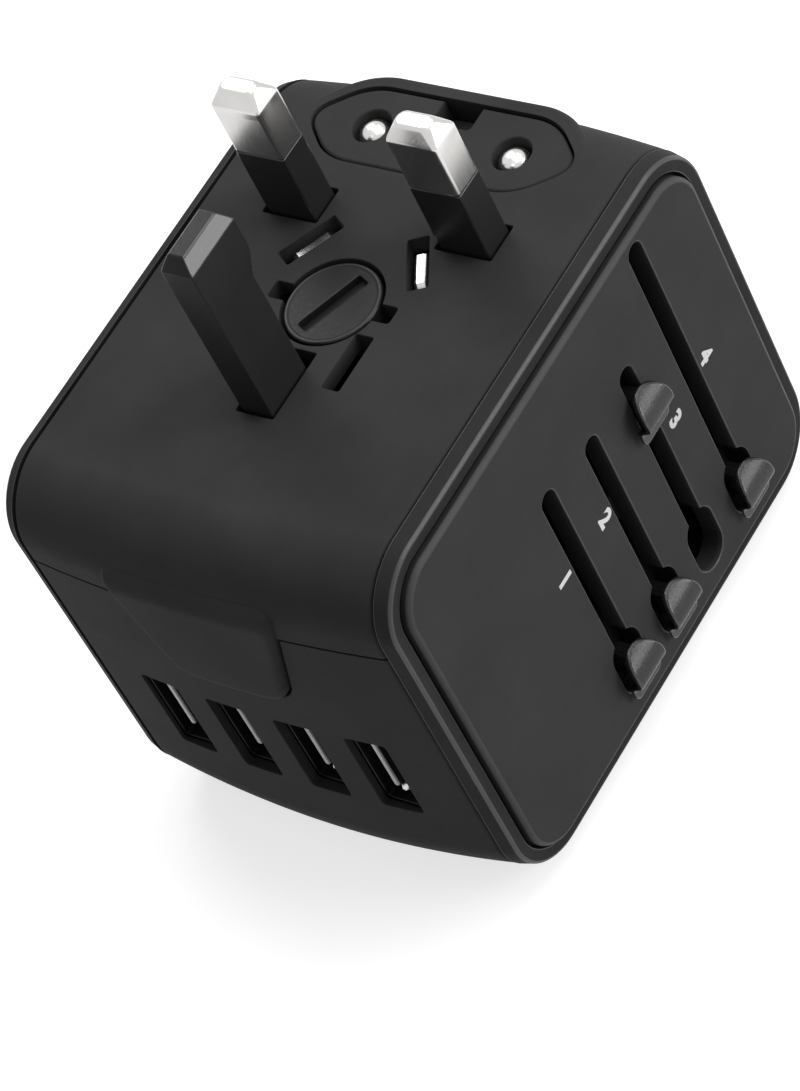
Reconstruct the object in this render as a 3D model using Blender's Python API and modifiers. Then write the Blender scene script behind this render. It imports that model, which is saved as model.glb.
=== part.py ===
"""Universal travel adapter: a rounded block whose plug pins slide out of one face.

Run with: blender --background --python part.py
Units are metres. +Z points out of the plug face, +X out of the side with the sliders and -Y out of
the USB side. The origin is the middle of the socket plate, which the adapter stands on. The UK pins
are out, as in the photo, and the other plugs are in.
"""

import math

import bmesh
import bpy
from mathutils import Matrix, Vector

# Body: a rounded block between two side covers, crowned across its width
CORE_WIDTH = 0.0457
BODY_LENGTH = 0.0633
BODY_DEPTH = 0.0507
BODY_CORNER = 0.0078
CROWN = 0.0014
WALL = 0.0020
PARTING_DROP = 0.0099
CORNER_STEPS = 8
CROWN_STATIONS = 11

# Gaps: between fixed neighbours, at the seams, and round what slides
CLEAR = 0.0003
SEAM = 0.0003
RUN = 0.0004

# Side covers: drafted band, crisp edge, rim, deep groove, raised panel
COVER_BAND = 0.0014
BLANK_BAND = 0.00095
COVER_DRAFT = 0.00035
COVER_EDGE = 0.0004
RIM_WIDTH = 0.0020
RIM_FALL = 0.0001
GROOVE_FLOOR = 0.0006
GROOVE_DRAFT = 0.0001
GROOVE_WIDTH = 0.0003
PANEL_RISE = 0.0008
PANEL_EDGE = 0.0006
RIB_DEPTH = 0.0016
RIB_WIDTH = 0.0010

# Guide slots in the slider cover
SLOT_WIDTH = 0.0025
KEYHOLE_WIDTH = 0.0050
KEYHOLE_LOW = 0.0064
KEYHOLE_HIGH = 0.0147
UK_SLOT_Y = 0.00955
AUS_SLOT_Y = 0.00135
US_SLOT_Y = -0.00685
EU_SLOT_Y = 0.01785
SLOT_PAST_KNOB = 0.0055

# Knobs: a bent sheet on a neck, round towards the plug face, measured from its crest
KNOB_WIDTH = 0.0052
KNOB_FRONT = 0.00275
KNOB_BACK = 0.00365
KNOB_HEIGHT = 0.0026
KNOB_LIFT = 0.00055
KNOB_SHEET = 0.00075
KNOB_CORNER = 0.0008
KNOB_STEPS = 2
KNOB_REST_Z = 0.0105
NECK_LENGTH = 0.0036

# Tongue of the rear cover: a soft-edged pad over the USB side that turns in over the rounding
TONGUE_DROP = 0.0211
TONGUE_TOP_WIDTH = 0.0203
TONGUE_LOW_WIDTH = 0.0141
TONGUE_CORNER = 0.0028
TONGUE_PROUD = 0.0009
TONGUE_ROUND = 0.0008
TONGUE_STEPS = 4
TONGUE_THICK = 0.0019
TONGUE_TOP = 0.0050
TONGUE_TURN = 0.0032
TONGUE_FALL = 0.0016
TONGUE_SPACING = 0.0020

# UK plug, by its national standard
PLUG_X = -0.0003
PIN_ROW_Y = 0.01235
UK_PITCH = 0.02223
UK_PIN_WIDTH = 0.00635
UK_PIN_THICK = 0.0040
UK_PIN_LENGTH = 0.0177
UK_SLEEVE_LENGTH = 0.0090
UK_SLEEVE_WALL = 0.0005
UK_TIP_LENGTH = 0.0014
UK_TIP_INSET = 0.0010
EARTH_WIDTH = 0.0040
EARTH_HEIGHT = 0.0080
EARTH_LENGTH = 0.0227
EARTH_STEM = 0.0067
EARTH_TIP_LENGTH = 0.0025
EARTH_TIP_INSET = 0.00105
EARTH_WAIST_LOW = 0.0140
EARTH_WAIST_HIGH = 0.0168
UK_TRAVEL = 0.0227

# Flat parallel blades
US_PITCH = 0.0127
US_ROW_Y = -0.0057
US_BLADE_WIDTH = 0.00635
US_BLADE_THICK = 0.0015
US_TIP_DEPTH = 0.0046
US_TRAVEL = 0.0227

# Flat slanted blades
AUS_PITCH = 0.01374
AUS_ROW_Y = 0.0078
AUS_BLADE_WIDTH = 0.0063
AUS_BLADE_THICK = 0.0016
AUS_SLANT = math.radians(30.0)
AUS_TIP_DEPTH = 0.0008
AUS_TRAVEL = 0.0214

# Blades share a chamfered tip and a narrow tang at the foot
BLADE_CHAMFER = 0.0012
TANG_WIDTH = 0.0026
TANG_LENGTH = 0.0030

# Euro block and its round pins
EURO_Y = 0.02365
EURO_LENGTH = 0.0348
EURO_WIDTH = 0.0101
EURO_FLAT = 0.0238
EURO_CORNER = 0.0022
EURO_SINK = 0.0002
EURO_BLOCK_DEPTH = 0.0243
EURO_SURROUND = 0.0020
SURROUND_EDGE = 0.0008
BLOCK_EDGE = 0.0004
EURO_NOTCH_WIDTH = 0.0050
EURO_NOTCH_DEPTH = 0.0032
EURO_NOTCH_FLOOR = 0.0030
EURO_PITCH = 0.0180
EURO_PIN_DIAMETER = 0.0040
EURO_BORE = 0.0045
EURO_MOUTH = 0.0050
EURO_TIP_DEPTH = 0.0006
EURO_BLOCK_TRAVEL = 0.0160
EURO_BAR_THICK = 0.0035

# Carriages that carry the pins
CARRIAGE_THICK = 0.0040
CARRIAGE_GAP = 0.0004
GUIDE_WIDTH = 0.0062
GUIDE_THICK = 0.0028
GUIDE_FOOT = 0.0050
BLADE_BAR_TOP = 0.0168
LEG_WIDTH = 0.0037
PAD_WIDTH = 0.0044

# Fuse, its holder and its bayonet cap
FUSE_X = -0.00005
FUSE_Y = 0.00095
FUSE_DIAMETER = 0.0052
FUSE_LENGTH = 0.0200
FUSE_CAP_DIAMETER = 0.0108
FUSE_CAP_THICK = 0.0032
FUSE_CAP_SINK = 0.0001
FUSE_SLOT_WIDTH = 0.0018
FUSE_SLOT_LENGTH = 0.0082
FUSE_SLOT_DEPTH = 0.0010
FUSE_SLOT_TURN = math.radians(66.0)
FUSE_LUG_REACH = 0.0007
FUSE_LUG_WIDTH = 0.0020
FUSE_LUG_THICK = 0.0009
FUSE_END_LENGTH = 0.0045
FUSE_CONTACT_THICK = 0.0006
HOLDER_WALL = 0.0008
HOLDER_FLANGE = 0.0016
BAYONET_WIDTH = 0.0022
BAYONET_REACH = 0.0024

# USB ports, long side upright
USB_COUNT = 4
USB_PITCH = 0.0090
USB_Z = 0.0196
USB_OPENING_WIDTH = 0.0051
USB_OPENING_HEIGHT = 0.0119
USB_SHELL_WALL = 0.0004
USB_SHELL_DEPTH = 0.0125
USB_WEB = 0.0010
USB_TONGUE_THICK = 0.0019
USB_TONGUE_HEIGHT = 0.0104
USB_TONGUE_SETBACK = 0.0002
USB_TONGUE_OFFSET = 0.0003

# Supply board with its transformer and capacitor
BOARD_WIDTH = 0.0365
BOARD_HEIGHT = 0.0360
BOARD_THICK = 0.0016
BOARD_LOW = 0.0060
TRANSFORMER_SIZE = (0.0140, 0.0088, 0.0110)
TRANSFORMER_X = -0.0085
TRANSFORMER_EDGE = 0.0006
CAPACITOR_DIAMETER = 0.0080
CAPACITOR_LENGTH = 0.0160
CAPACITOR_X = 0.0095
CAPACITOR_EDGE = 0.0004
PARTS_Z = 0.0360

# Outlet side: socket plate, shutter, contact frame and contacts
SOCKET_LENGTH = 0.0460
SOCKET_WIDTH = 0.0360
SOCKET_CORNER = 0.0050
SOCKET_THICK = 0.0030
SOCKET_ROW_Y = -0.0080
HOLE_MARGIN = 0.0004
SOCKET_EARTH_WIDTH = 0.0056
SOCKET_EARTH_LENGTH = 0.0092
GROUND_SLOT_Y = -0.0103
GROUND_SLOT_LENGTH = 0.0080
SHUTTER_THICK = 0.0018
SHUTTER_LENGTH = 0.0120
SHUTTER_WINDOW = 0.0052
SHUTTER_TRAVEL = 0.0060
FRAME_WALL = 0.0012
FRAME_TOP = 0.0122
FRAME_LENGTH = 0.0170
FRAME_BEAM = 0.0070
CONTACT_WIDTH = 0.0070
CONTACT_MARGIN = 0.0016
CONTACT_GAP = 0.0046
CONTACT_THICK = 0.0006

# Worked out from the sizes above
HALF_X = CORE_WIDTH / 2
HALF_Y = BODY_LENGTH / 2
PLUG_Z = CROWN + BODY_DEPTH
INNER_Y = HALF_Y - WALL
INNER_TOP = PLUG_Z - WALL
INNER_FLOOR = CROWN + WALL
INNER_CORNER = BODY_CORNER - WALL
PARTING_Z = PLUG_Z - PARTING_DROP
COVER_X = HALF_X + SEAM
PANEL_X = COVER_X + COVER_BAND + COVER_EDGE + PANEL_RISE
GUIDE_X = COVER_X - CARRIAGE_GAP
EURO_FLOOR = PLUG_Z - EURO_SINK - EURO_BLOCK_DEPTH
EURO_BAR_LOW = GUIDE_FOOT - CLEAR
EURO_BAR_TOP = EURO_BAR_LOW + EURO_BAR_THICK
EURO_PIN_TRAVEL = EURO_FLOOR + EURO_BLOCK_TRAVEL - CARRIAGE_GAP - EURO_BAR_TOP
BEYOND = 0.02

PARTS = None
CUTTERS = None


def material(name, colour, roughness, metallic=0.0):
    """A Principled BSDF material with one colour."""
    made = bpy.data.materials.new(name)
    made.use_nodes = True
    shader = made.node_tree.nodes["Principled BSDF"]
    shader.inputs["Base Color"].default_value = (*colour, 1.0)
    shader.inputs["Roughness"].default_value = roughness
    shader.inputs["Metallic"].default_value = metallic
    return made


def empty(name, place, parent=None):
    """A parent for the pieces of one moving body, standing on its joint's axis."""
    holder = bpy.data.objects.new(name, None)
    holder.parent = parent
    holder.location = Vector(place) - world_place(parent)
    PARTS.objects.link(holder)
    return holder


def world_place(holder):
    """Where an empty stands, with those it hangs from added up."""
    total = Vector()
    while holder is not None:
        total += holder.location
        holder = holder.parent
    return total


def piece(name, bm, surface=None, parent=None, smooth=40.0):
    """Turns a bmesh in world places into a named part, or a hidden cutter where it has no surface.

    A part with a parent keeps its place: its mesh is moved into the parent's own space.
    """
    bmesh.ops.recalc_face_normals(bm, faces=bm.faces)
    bmesh.ops.translate(bm, verts=bm.verts, vec=-world_place(parent))
    mesh = bpy.data.meshes.new(name)
    bm.to_mesh(mesh)
    bm.free()
    made = bpy.data.objects.new(name, mesh)
    if surface is None:
        CUTTERS.objects.link(made)
        made.hide_render = True
        made.display_type = "WIRE"
        return made
    PARTS.objects.link(made)
    mesh.materials.append(surface)
    mesh.shade_smooth()
    mesh.set_sharp_from_angle(angle=math.radians(smooth))
    made.parent = parent
    return made


def combine(target, other, operation):
    """Adds a Boolean of another object to the target."""
    change = target.modifiers.new(f"{operation.lower()} {other.name}", "BOOLEAN")
    change.operation = operation
    change.object = other
    change.solver = "EXACT"


def cut(target, *others):
    for other in others:
        combine(target, other, "DIFFERENCE")


def join(target, *others):
    for other in others:
        combine(target, other, "UNION")


def rounded(target, width, segments=2):
    """Bevels the sharp edges of a part and hands it back."""
    change = target.modifiers.new("rounded edges", "BEVEL")
    change.width = width
    change.segments = segments
    change.limit_method = "ANGLE"
    change.angle_limit = math.radians(50.0)
    return target


def arc(centre, radius, start, end, steps):
    """Points of a circular arc, ends included, with angles in degrees."""
    angles = [math.radians(start + (end - start) * i / steps) for i in range(steps + 1)]
    return [(centre[0] + radius * math.cos(a), centre[1] + radius * math.sin(a)) for a in angles]


def rounded_outline(low, high, radius, steps=CORNER_STEPS):
    """A rectangle with round corners, from its low and high corner, counter-clockwise."""
    radius = min(radius, (high[0] - low[0]) / 2, (high[1] - low[1]) / 2)
    centres = (
        (high[0] - radius, high[1] - radius),
        (low[0] + radius, high[1] - radius),
        (low[0] + radius, low[1] + radius),
        (high[0] - radius, low[1] + radius),
    )
    points = []
    for turn, centre in enumerate(centres):
        points += arc(centre, radius, 90.0 * turn, 90.0 * (turn + 1), steps)
    return points


def rounded_polygon(corners, radius, steps=3):
    """A polygon whose corners are replaced by quadratic bends of about the given radius."""
    points = []
    for i, corner in enumerate(corners):
        here = Vector(corner)
        before = (Vector(corners[i - 1]) - here).normalized()
        after = (Vector(corners[(i + 1) % len(corners)]) - here).normalized()
        first = here + before * radius
        last = here + after * radius
        for k in range(steps + 1):
            t = k / steps
            bend = first * (1 - t) ** 2 + here * (2 * t * (1 - t)) + last * t**2
            points.append((bend.x, bend.y))
    return points


def grown(corners, margin):
    """A convex polygon, counter-clockwise, with every side moved outwards by a margin."""
    points = []
    for i, corner in enumerate(corners):
        here = Vector(corner)
        before = (here - Vector(corners[i - 1])).normalized()
        after = (Vector(corners[(i + 1) % len(corners)]) - here).normalized()
        out = Vector((before.y + after.y, -before.x - after.x))
        moved = here + out * (margin / (1.0 + before.dot(after)))
        points.append((moved.x, moved.y))
    return points


def divided(points, longest):
    """A closed outline with its long sides split, so that it can follow a curved face."""
    line = []
    for i, point in enumerate(points):
        here, after = Vector(point), Vector(points[(i + 1) % len(points)])
        parts = max(1, math.ceil((after - here).length / longest))
        line += [tuple(here.lerp(after, k / parts)) for k in range(parts)]
    return line


def smooth_line(points, steps):
    """A Catmull-Rom curve through a few points, ends included."""
    ends = [points[0], *points, points[-1]]
    line = []
    for i in range(len(points) - 1):
        p0, p1, p2, p3 = (Vector(p) for p in ends[i : i + 4])
        for k in range(steps):
            t = k / steps
            bend = 2 * p1 + (p2 - p0) * t + (2 * p0 - 5 * p1 + 4 * p2 - p3) * t**2
            bend = (bend + (3 * p1 - p0 - 3 * p2 + p3) * t**3) / 2
            line.append((bend.x, bend.y))
    return line + [tuple(points[-1])]


def lay(point, axis, height):
    """Puts a flat point on the plane at this height along an axis: X takes (y, z), Y (x, z), Z (x, y)."""
    placed = list(point)
    placed.insert("XYZ".index(axis), height)
    return placed


def loft(rings):
    """A closed solid through rings of as many points each, capped at both ends."""
    bm = bmesh.new()
    loops = [[bm.verts.new(point) for point in ring] for ring in rings]
    for low, high in zip(loops, loops[1:]):
        for i in range(len(low)):
            k = (i + 1) % len(low)
            bm.faces.new((low[i], low[k], high[k], high[i]))
    bm.faces.new(loops[0])
    bm.faces.new(loops[-1])
    return bm


def prism(points, axis, low, high):
    """A flat outline drawn out along an axis, from low to high."""
    bm = bmesh.new()
    face = bm.faces.new([bm.verts.new(lay(p, axis, low)) for p in points])
    drawn = bmesh.ops.extrude_face_region(bm, geom=[face])["geom"]
    far = [part for part in drawn if isinstance(part, bmesh.types.BMVert)]
    bmesh.ops.translate(bm, verts=far, vec=lay((0.0, 0.0), axis, high - low))
    return bm


def box(low, high):
    """A box between two corners."""
    bm = bmesh.new()
    low, high = Vector(low), Vector(high)
    bmesh.ops.create_cube(bm, size=1.0)
    bmesh.ops.scale(bm, vec=high - low, verts=bm.verts)
    bmesh.ops.translate(bm, vec=(low + high) / 2, verts=bm.verts)
    return bm


def drum(radius, low, high, place, axis="Z", segments=32):
    """A cylinder along an axis, between two heights on it, about the place of its centre line."""
    bm = bmesh.new()
    bmesh.ops.create_cone(
        bm, cap_ends=True, segments=segments, radius1=radius, radius2=radius, depth=high - low
    )
    if axis == "X":
        bmesh.ops.rotate(bm, verts=bm.verts, matrix=Matrix.Rotation(math.pi / 2, 3, "Y"))
    bmesh.ops.translate(bm, vec=lay(place, axis, (low + high) / 2), verts=bm.verts)
    return bm


def turned(name, profile, place, surface, parent=None, steps=32):
    """A solid turned about an upright line: the profile holds (radius, z) pairs, from top to bottom."""
    mesh = bpy.data.meshes.new(name)
    points = [(radius, 0.0, z) for radius, z in profile]
    mesh.from_pydata(points, [(i, i + 1) for i in range(len(points) - 1)], [])
    made = bpy.data.objects.new(name, mesh)
    PARTS.objects.link(made)
    mesh.materials.append(surface)
    made.parent = parent
    made.location = Vector((*place, 0.0)) - world_place(parent)
    spin = made.modifiers.new("turn", "SCREW")
    spin.steps = steps
    spin.render_steps = steps
    spin.use_merge_vertices = True
    spin.merge_threshold = 0.00001
    spin.use_smooth_shade = True
    return made


def crown_at(x):
    """How far the crowned sides stand out at this distance from the middle."""
    return CROWN * (1.0 - (x / HALF_X) ** 2)


def core_solid():
    """The crowned block between the covers: rounded rectangles along X that swell to the middle."""
    rings = []
    for i in range(CROWN_STATIONS):
        x = -HALF_X + CORE_WIDTH * i / (CROWN_STATIONS - 1)
        swell = crown_at(x)
        outline = rounded_outline((-HALF_Y - swell, CROWN - swell), (HALF_Y + swell, PLUG_Z), BODY_CORNER)
        rings.append([lay(p, "X", x) for p in outline])
    return loft(rings)


def cavity_solid():
    """The hollow of the block, open at both covers."""
    outline = rounded_outline((-INNER_Y, INNER_FLOOR), (INNER_Y, INNER_TOP), INNER_CORNER)
    return prism(outline, "X", -HALF_X - BEYOND, HALF_X + BEYOND)


def euro_outline(grow):
    """The six-sided outline of the euro block, grown outwards by a margin."""
    half, flat, wide = EURO_LENGTH / 2, EURO_FLAT / 2, EURO_WIDTH / 2
    right = [(flat, -wide), (half, 0.0), (flat, wide)]
    left = [(-flat, wide), (-half, 0.0), (-flat, -wide)]
    corners = [(PLUG_X + x, EURO_Y + y) for x, y in right + left]
    return rounded_polygon(grown(corners, grow), EURO_CORNER + grow / 2)


def tongue_outline(grow):
    """The tongue seen from the USB side: a trapezoid with round lower corners, grown by a margin."""
    low_z = PLUG_Z - TONGUE_DROP
    top_z = PLUG_Z - TONGUE_TOP
    low = TONGUE_LOW_WIDTH / 2
    slope = (TONGUE_TOP_WIDTH / 2 - low) / (PARTING_Z - low_z)
    top = low + slope * (top_z - low_z)
    corners = [(-low, low_z), (low, low_z), (top, top_z), (-top, top_z)]
    placed = grown([(PLUG_X + x, z) for x, z in corners], grow)
    return rounded_polygon(placed, TONGUE_CORNER, 4)


def tongue_point(point, rise):
    """A point of the tongue at this rise above the USB face; near the top it turns in over the rounding."""
    x, z = point
    over = max(0.0, z - PLUG_Z + TONGUE_TOP + TONGUE_TURN) / TONGUE_TURN
    return (x, TONGUE_FALL * over**2 - HALF_Y - crown_at(x) - rise, z)


def tongue_solid():
    """The tongue's outline carried forward, over a rounded edge and in to its middle."""
    outline = divided(tongue_outline(0.0), TONGUE_SPACING)
    rings = [[lay(p, "Y", TONGUE_THICK - TONGUE_PROUD - HALF_Y) for p in outline]]
    for i in range(TONGUE_STEPS + 1):
        turn = math.radians(90.0 * i / TONGUE_STEPS)
        edge = grown(outline, TONGUE_ROUND * (math.cos(turn) - 1.0))
        rise = TONGUE_PROUD + TONGUE_ROUND * (math.sin(turn) - 1.0)
        rings.append([tongue_point(p, rise) for p in edge])
    middle = Vector((PLUG_X, PLUG_Z - (TONGUE_TOP + TONGUE_DROP) / 2))
    for share in (0.7, 0.4, 0.1):
        rings.append([tongue_point(middle.lerp(Vector(p), share), TONGUE_PROUD) for p in edge])
    return loft(rings)


def rear_cover(black):
    """Plug face, the big rounding, the surround of the euro block and the tongue, as one shell."""
    cover = piece("rear_cover", core_solid(), black)
    surround = prism(euro_outline(EURO_SURROUND), "Z", PARTING_Z - SEAM, PLUG_Z)
    join(cover, rounded(piece("euro_surround", surround), SURROUND_EDGE))
    low = (-BEYOND * 2, -BEYOND * 3, PARTING_Z + SEAM / 2)
    high = (BEYOND * 2, BEYOND * 3, PLUG_Z + BEYOND)
    combine(cover, piece("above_parting", box(low, high)), "INTERSECT")
    join(cover, piece("tongue", tongue_solid()))
    cut(cover, piece("rear_hollow", cavity_solid()))
    cut_pin_slots(cover)
    return cover


def cut_pin_slots(cover):
    """Slots for every pin that passes through the plug face, and the round seat of the fuse cap."""
    low, high = INNER_FLOOR, PLUG_Z + BEYOND
    for name, x in uk_pin_places():
        half = Vector((UK_PIN_WIDTH / 2 + RUN, UK_PIN_THICK / 2 + RUN))
        cut(cover, slot_box(f"{name}_slot", (x, PIN_ROW_Y), half, low, high))
    earth_low, earth_high = earth_span()
    half = Vector((EARTH_WIDTH / 2 + RUN, (earth_high - earth_low) / 2 + RUN))
    cut(cover, slot_box("earth_slot", (PLUG_X, (earth_low + earth_high) / 2), half, low, high))
    for name, x in us_places():
        half = Vector((US_BLADE_THICK / 2 + RUN, US_BLADE_WIDTH / 2 + RUN))
        cut(cover, slot_box(f"{name}_slot", (x, US_ROW_Y), half, low, high))
    for name, x, slant in aus_places():
        half = Vector((AUS_BLADE_THICK / 2 + RUN, AUS_BLADE_WIDTH / 2 + RUN))
        cut(cover, slot_box(f"{name}_slot", (x, AUS_ROW_Y), half, low, high, slant))
    block_hole = prism(euro_outline(RUN), "Z", low, high)
    cut(cover, piece("euro_hole", block_hole))
    fuse_hole = drum(FUSE_CAP_DIAMETER / 2 + RUN, low, high, (FUSE_X, FUSE_Y))
    cut(cover, piece("fuse_cap_hole", fuse_hole))
    reach = FUSE_CAP_DIAMETER / 2 + BAYONET_REACH
    half = Vector((reach, BAYONET_WIDTH / 2))
    cut(cover, slot_box("bayonet_notches", (FUSE_X, FUSE_Y), half, low, high))


def slot_box(name, centre, half, low, high, turn=0.0):
    """An upright box cutter of these half sizes, turned about its own middle."""
    bm = box((-half.x, -half.y, low), (half.x, half.y, high))
    bmesh.ops.rotate(bm, verts=bm.verts, matrix=Matrix.Rotation(turn, 3, "Z"))
    bmesh.ops.translate(bm, verts=bm.verts, vec=(*centre, 0.0))
    return piece(name, bm)


def usb_places():
    return [(i + 1, PLUG_X + (i - (USB_COUNT - 1) / 2) * USB_PITCH) for i in range(USB_COUNT)]


def usb_box(x, grow, front, back):
    """A box as wide and high as a port's opening and a margin more, between two places along Y."""
    wide, tall = USB_OPENING_WIDTH / 2 + grow, USB_OPENING_HEIGHT / 2 + grow
    return box((x - wide, front, USB_Z - tall), (x + wide, back, USB_Z + tall))


def usb_front():
    """Where the metal shells end, behind the thin web at the face of the housing."""
    edge = usb_places()[-1][1]
    return -HALF_Y - crown_at(edge) + USB_WEB


def main_housing(black):
    """USB side, outlet side and the long side below the parting line, as one open loop."""
    housing = piece("main_housing", core_solid(), black)
    low = box((-BEYOND * 2, -BEYOND * 3, -BEYOND), (BEYOND * 2, BEYOND * 3, PARTING_Z - SEAM / 2))
    combine(housing, piece("below_parting", low), "INTERSECT")
    cut(housing, piece("housing_hollow", cavity_solid()))
    pocket_floor = TONGUE_THICK - TONGUE_PROUD - HALF_Y + CLEAR
    pocket = prism(tongue_outline(CLEAR), "Y", -HALF_Y - BEYOND, pocket_floor)
    cut(housing, piece("tongue_pocket", pocket))
    for number, x in usb_places():
        cut(housing, piece(f"usb_mouth_{number}", usb_box(x, 0.0, -HALF_Y - BEYOND, WALL - INNER_Y)))
        seat = usb_box(x, USB_SHELL_WALL + CLEAR, usb_front() - CLEAR, WALL - INNER_Y)
        cut(housing, piece(f"usb_seat_{number}", seat))
    window = rounded_outline(
        (-SOCKET_WIDTH / 2 - CLEAR, -SOCKET_LENGTH / 2 - CLEAR),
        (SOCKET_WIDTH / 2 + CLEAR, SOCKET_LENGTH / 2 + CLEAR),
        SOCKET_CORNER + CLEAR,
    )
    cut(housing, piece("socket_window", prism(window, "Z", -BEYOND, INNER_FLOOR + WALL)))
    return housing


def cover_ring(inset, height, side):
    """The body's outline drawn in by an inset, on a plane at a height above the cover's inner face."""
    outline = rounded_outline(
        (-HALF_Y + inset, CROWN + inset), (HALF_Y - inset, PLUG_Z - inset), BODY_CORNER - inset, 8
    )
    return [lay(p, "X", side * (COVER_X + height)) for p in outline]


def cover_profile(band):
    """Inset and height of the cover's edge, from the seam over the rim and the groove to the panel."""
    rim = band + COVER_EDGE
    groove = RIM_WIDTH + GROOVE_DRAFT
    panel = groove + GROOVE_WIDTH
    edge = arc((COVER_DRAFT + COVER_EDGE, band), COVER_EDGE, 180.0, 90.0, 3)
    crest = arc((panel + PANEL_EDGE, rim + PANEL_RISE - PANEL_EDGE), PANEL_EDGE, 180.0, 90.0, 3)
    valley = [(RIM_WIDTH, rim - RIM_FALL), (groove, GROOVE_FLOOR), (panel, GROOVE_FLOOR)]
    return [(0.0, 0.0), *edge, *valley, *crest]


def side_cover(name, side, band, black):
    """A side cover: the profile carried round the outline, with a locating rib on its inner face."""
    profile = cover_profile(band)
    cover = piece(name, loft([cover_ring(inset, height, side) for inset, height in profile]), black)
    low = (-INNER_Y + CLEAR, INNER_FLOOR + CLEAR)
    high = (INNER_Y - CLEAR, INNER_TOP - CLEAR)
    inside = (RIB_WIDTH, RIB_WIDTH)
    faces = sorted((side * (COVER_X - RIB_DEPTH), side * (COVER_X + GROOVE_FLOOR / 2)))
    rib = piece(f"{name}_rib", prism(rounded_outline(low, high, INNER_CORNER), "X", *faces))
    middle = rounded_outline(
        (low[0] + inside[0], low[1] + inside[1]), (high[0] - inside[0], high[1] - inside[1]), INNER_CORNER
    )
    cut(rib, piece(f"{name}_rib_hollow", prism(middle, "X", faces[0] - BEYOND, faces[1] + BEYOND)))
    join(cover, rib)
    return cover


def stadium(centre_y, low, high, width):
    """An upright slot outline with round ends."""
    return rounded_outline((centre_y - width / 2, low), (centre_y + width / 2, high), width / 2, 5)


def slider_cover(black):
    """The side cover with four guide slots, each opening into a keyhole at the outlet end."""
    cover = side_cover("slider_cover", 1, COVER_BAND, black)
    for name, slot_y, travel in slider_places():
        top = KNOB_REST_Z + travel + SLOT_PAST_KNOB
        if name == "euro":
            top = min(top, PLUG_Z - RIM_WIDTH - GROOVE_WIDTH - PANEL_EDGE * 2)
        slot = stadium(slot_y, KEYHOLE_LOW + KEYHOLE_WIDTH / 2, top, SLOT_WIDTH)
        keyhole = stadium(slot_y, KEYHOLE_LOW, KEYHOLE_HIGH, KEYHOLE_WIDTH)
        cut(cover, piece(f"{name}_guide", prism(slot, "X", HALF_X, PANEL_X + BEYOND)))
        cut(cover, piece(f"{name}_keyhole", prism(keyhole, "X", HALF_X, PANEL_X + BEYOND)))
    return cover


def slider_places():
    """Name, slot position and travel of each slider."""
    return [
        ("uk", UK_SLOT_Y, UK_TRAVEL),
        ("aus", AUS_SLOT_Y, AUS_TRAVEL),
        ("us", US_SLOT_Y, US_TRAVEL),
        ("euro", EU_SLOT_Y, EURO_PIN_TRAVEL),
    ]


def knob_line():
    """Side view of a knob's upper face, as pairs of place along the slot and height over the panel.

    A ramp climbs to the crest, and an S-curve falls from it to a low lip.
    """
    front, back, tall = KNOB_FRONT, -KNOB_BACK, KNOB_HEIGHT
    points = [
        (front, 0.36 * tall),
        (0.65 * front, 0.62 * tall),
        (0.30 * front, 0.87 * tall),
        (0.0, tall),
        (0.22 * back, 0.94 * tall),
        (0.44 * back, 0.92 * tall),
        (0.68 * back, 0.72 * tall),
        (0.86 * back, 0.52 * tall),
        (back, 0.44 * tall),
    ]
    return smooth_line(points, KNOB_STEPS)


def knob(name, slot_y, crest_z, carriage_body, black):
    """A bent sheet with a round end, on a neck that reaches through the guide slot."""
    parent = empty(f"{name}_body", (PANEL_X, slot_y, crest_z), carriage_body)
    line = knob_line()
    under = [(s, max(KNOB_LIFT, h - KNOB_SHEET)) for s, h in line]
    side_view = [(PANEL_X + h, crest_z + s) for s, h in line + under[::-1]]
    radius = KNOB_WIDTH / 2
    bent = prism(side_view, "Y", slot_y - radius, slot_y + radius)
    sheet = piece(name, bent, black, parent)
    low, corner = crest_z - KNOB_BACK, KNOB_CORNER
    plan = arc((slot_y, crest_z + KNOB_FRONT - radius), radius, 0.0, 180.0, 10)
    plan += arc((slot_y - radius + corner, low + corner), corner, 180.0, 270.0, 3)
    plan += arc((slot_y + radius - corner, low + corner), corner, 270.0, 360.0, 3)
    combine(sheet, piece(f"{name}_plan", prism(plan, "X", 0.0, PANEL_X + BEYOND)), "INTERSECT")
    foot = GUIDE_X - GUIDE_THICK / 2
    reach = NECK_LENGTH / 2
    top = [(s, PANEL_X + h - KNOB_SHEET / 2) for s, h in line if abs(s) < reach]
    neck = [(foot, crest_z + top[0][0]), *[(x, crest_z + s) for s, x in top], (foot, crest_z + top[-1][0])]
    neck_half = SLOT_WIDTH / 2 - CLEAR
    join(sheet, piece(f"{name}_neck", prism(neck, "Y", slot_y - neck_half, slot_y + neck_half)))


def guide_plate(name, carriage, slot_y, knob_z, low, high):
    """Adds the upright plate that runs behind the cover and takes the neck of the knob."""
    half = GUIDE_WIDTH / 2
    plate = box((GUIDE_X - GUIDE_THICK, slot_y - half, low), (GUIDE_X, slot_y + half, high))
    join(carriage, piece(f"{name}_guide_plate", plate))
    neck_half = SLOT_WIDTH / 2
    reach = NECK_LENGTH / 2 + CLEAR
    socket = box((0.0, slot_y - neck_half, knob_z - reach), (PANEL_X, slot_y + neck_half, knob_z + reach))
    clip = box((GUIDE_X - GUIDE_THICK - CLEAR, slot_y - half, 0.0), (PANEL_X, slot_y + half, PLUG_Z))
    neck_hole = piece(f"{name}_neck_hole", socket)
    combine(neck_hole, piece(f"{name}_neck_clip", clip), "INTERSECT")
    cut(carriage, neck_hole)


def uk_pin_places():
    return [("uk_line", PLUG_X + UK_PITCH / 2), ("uk_neutral", PLUG_X - UK_PITCH / 2)]


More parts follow.
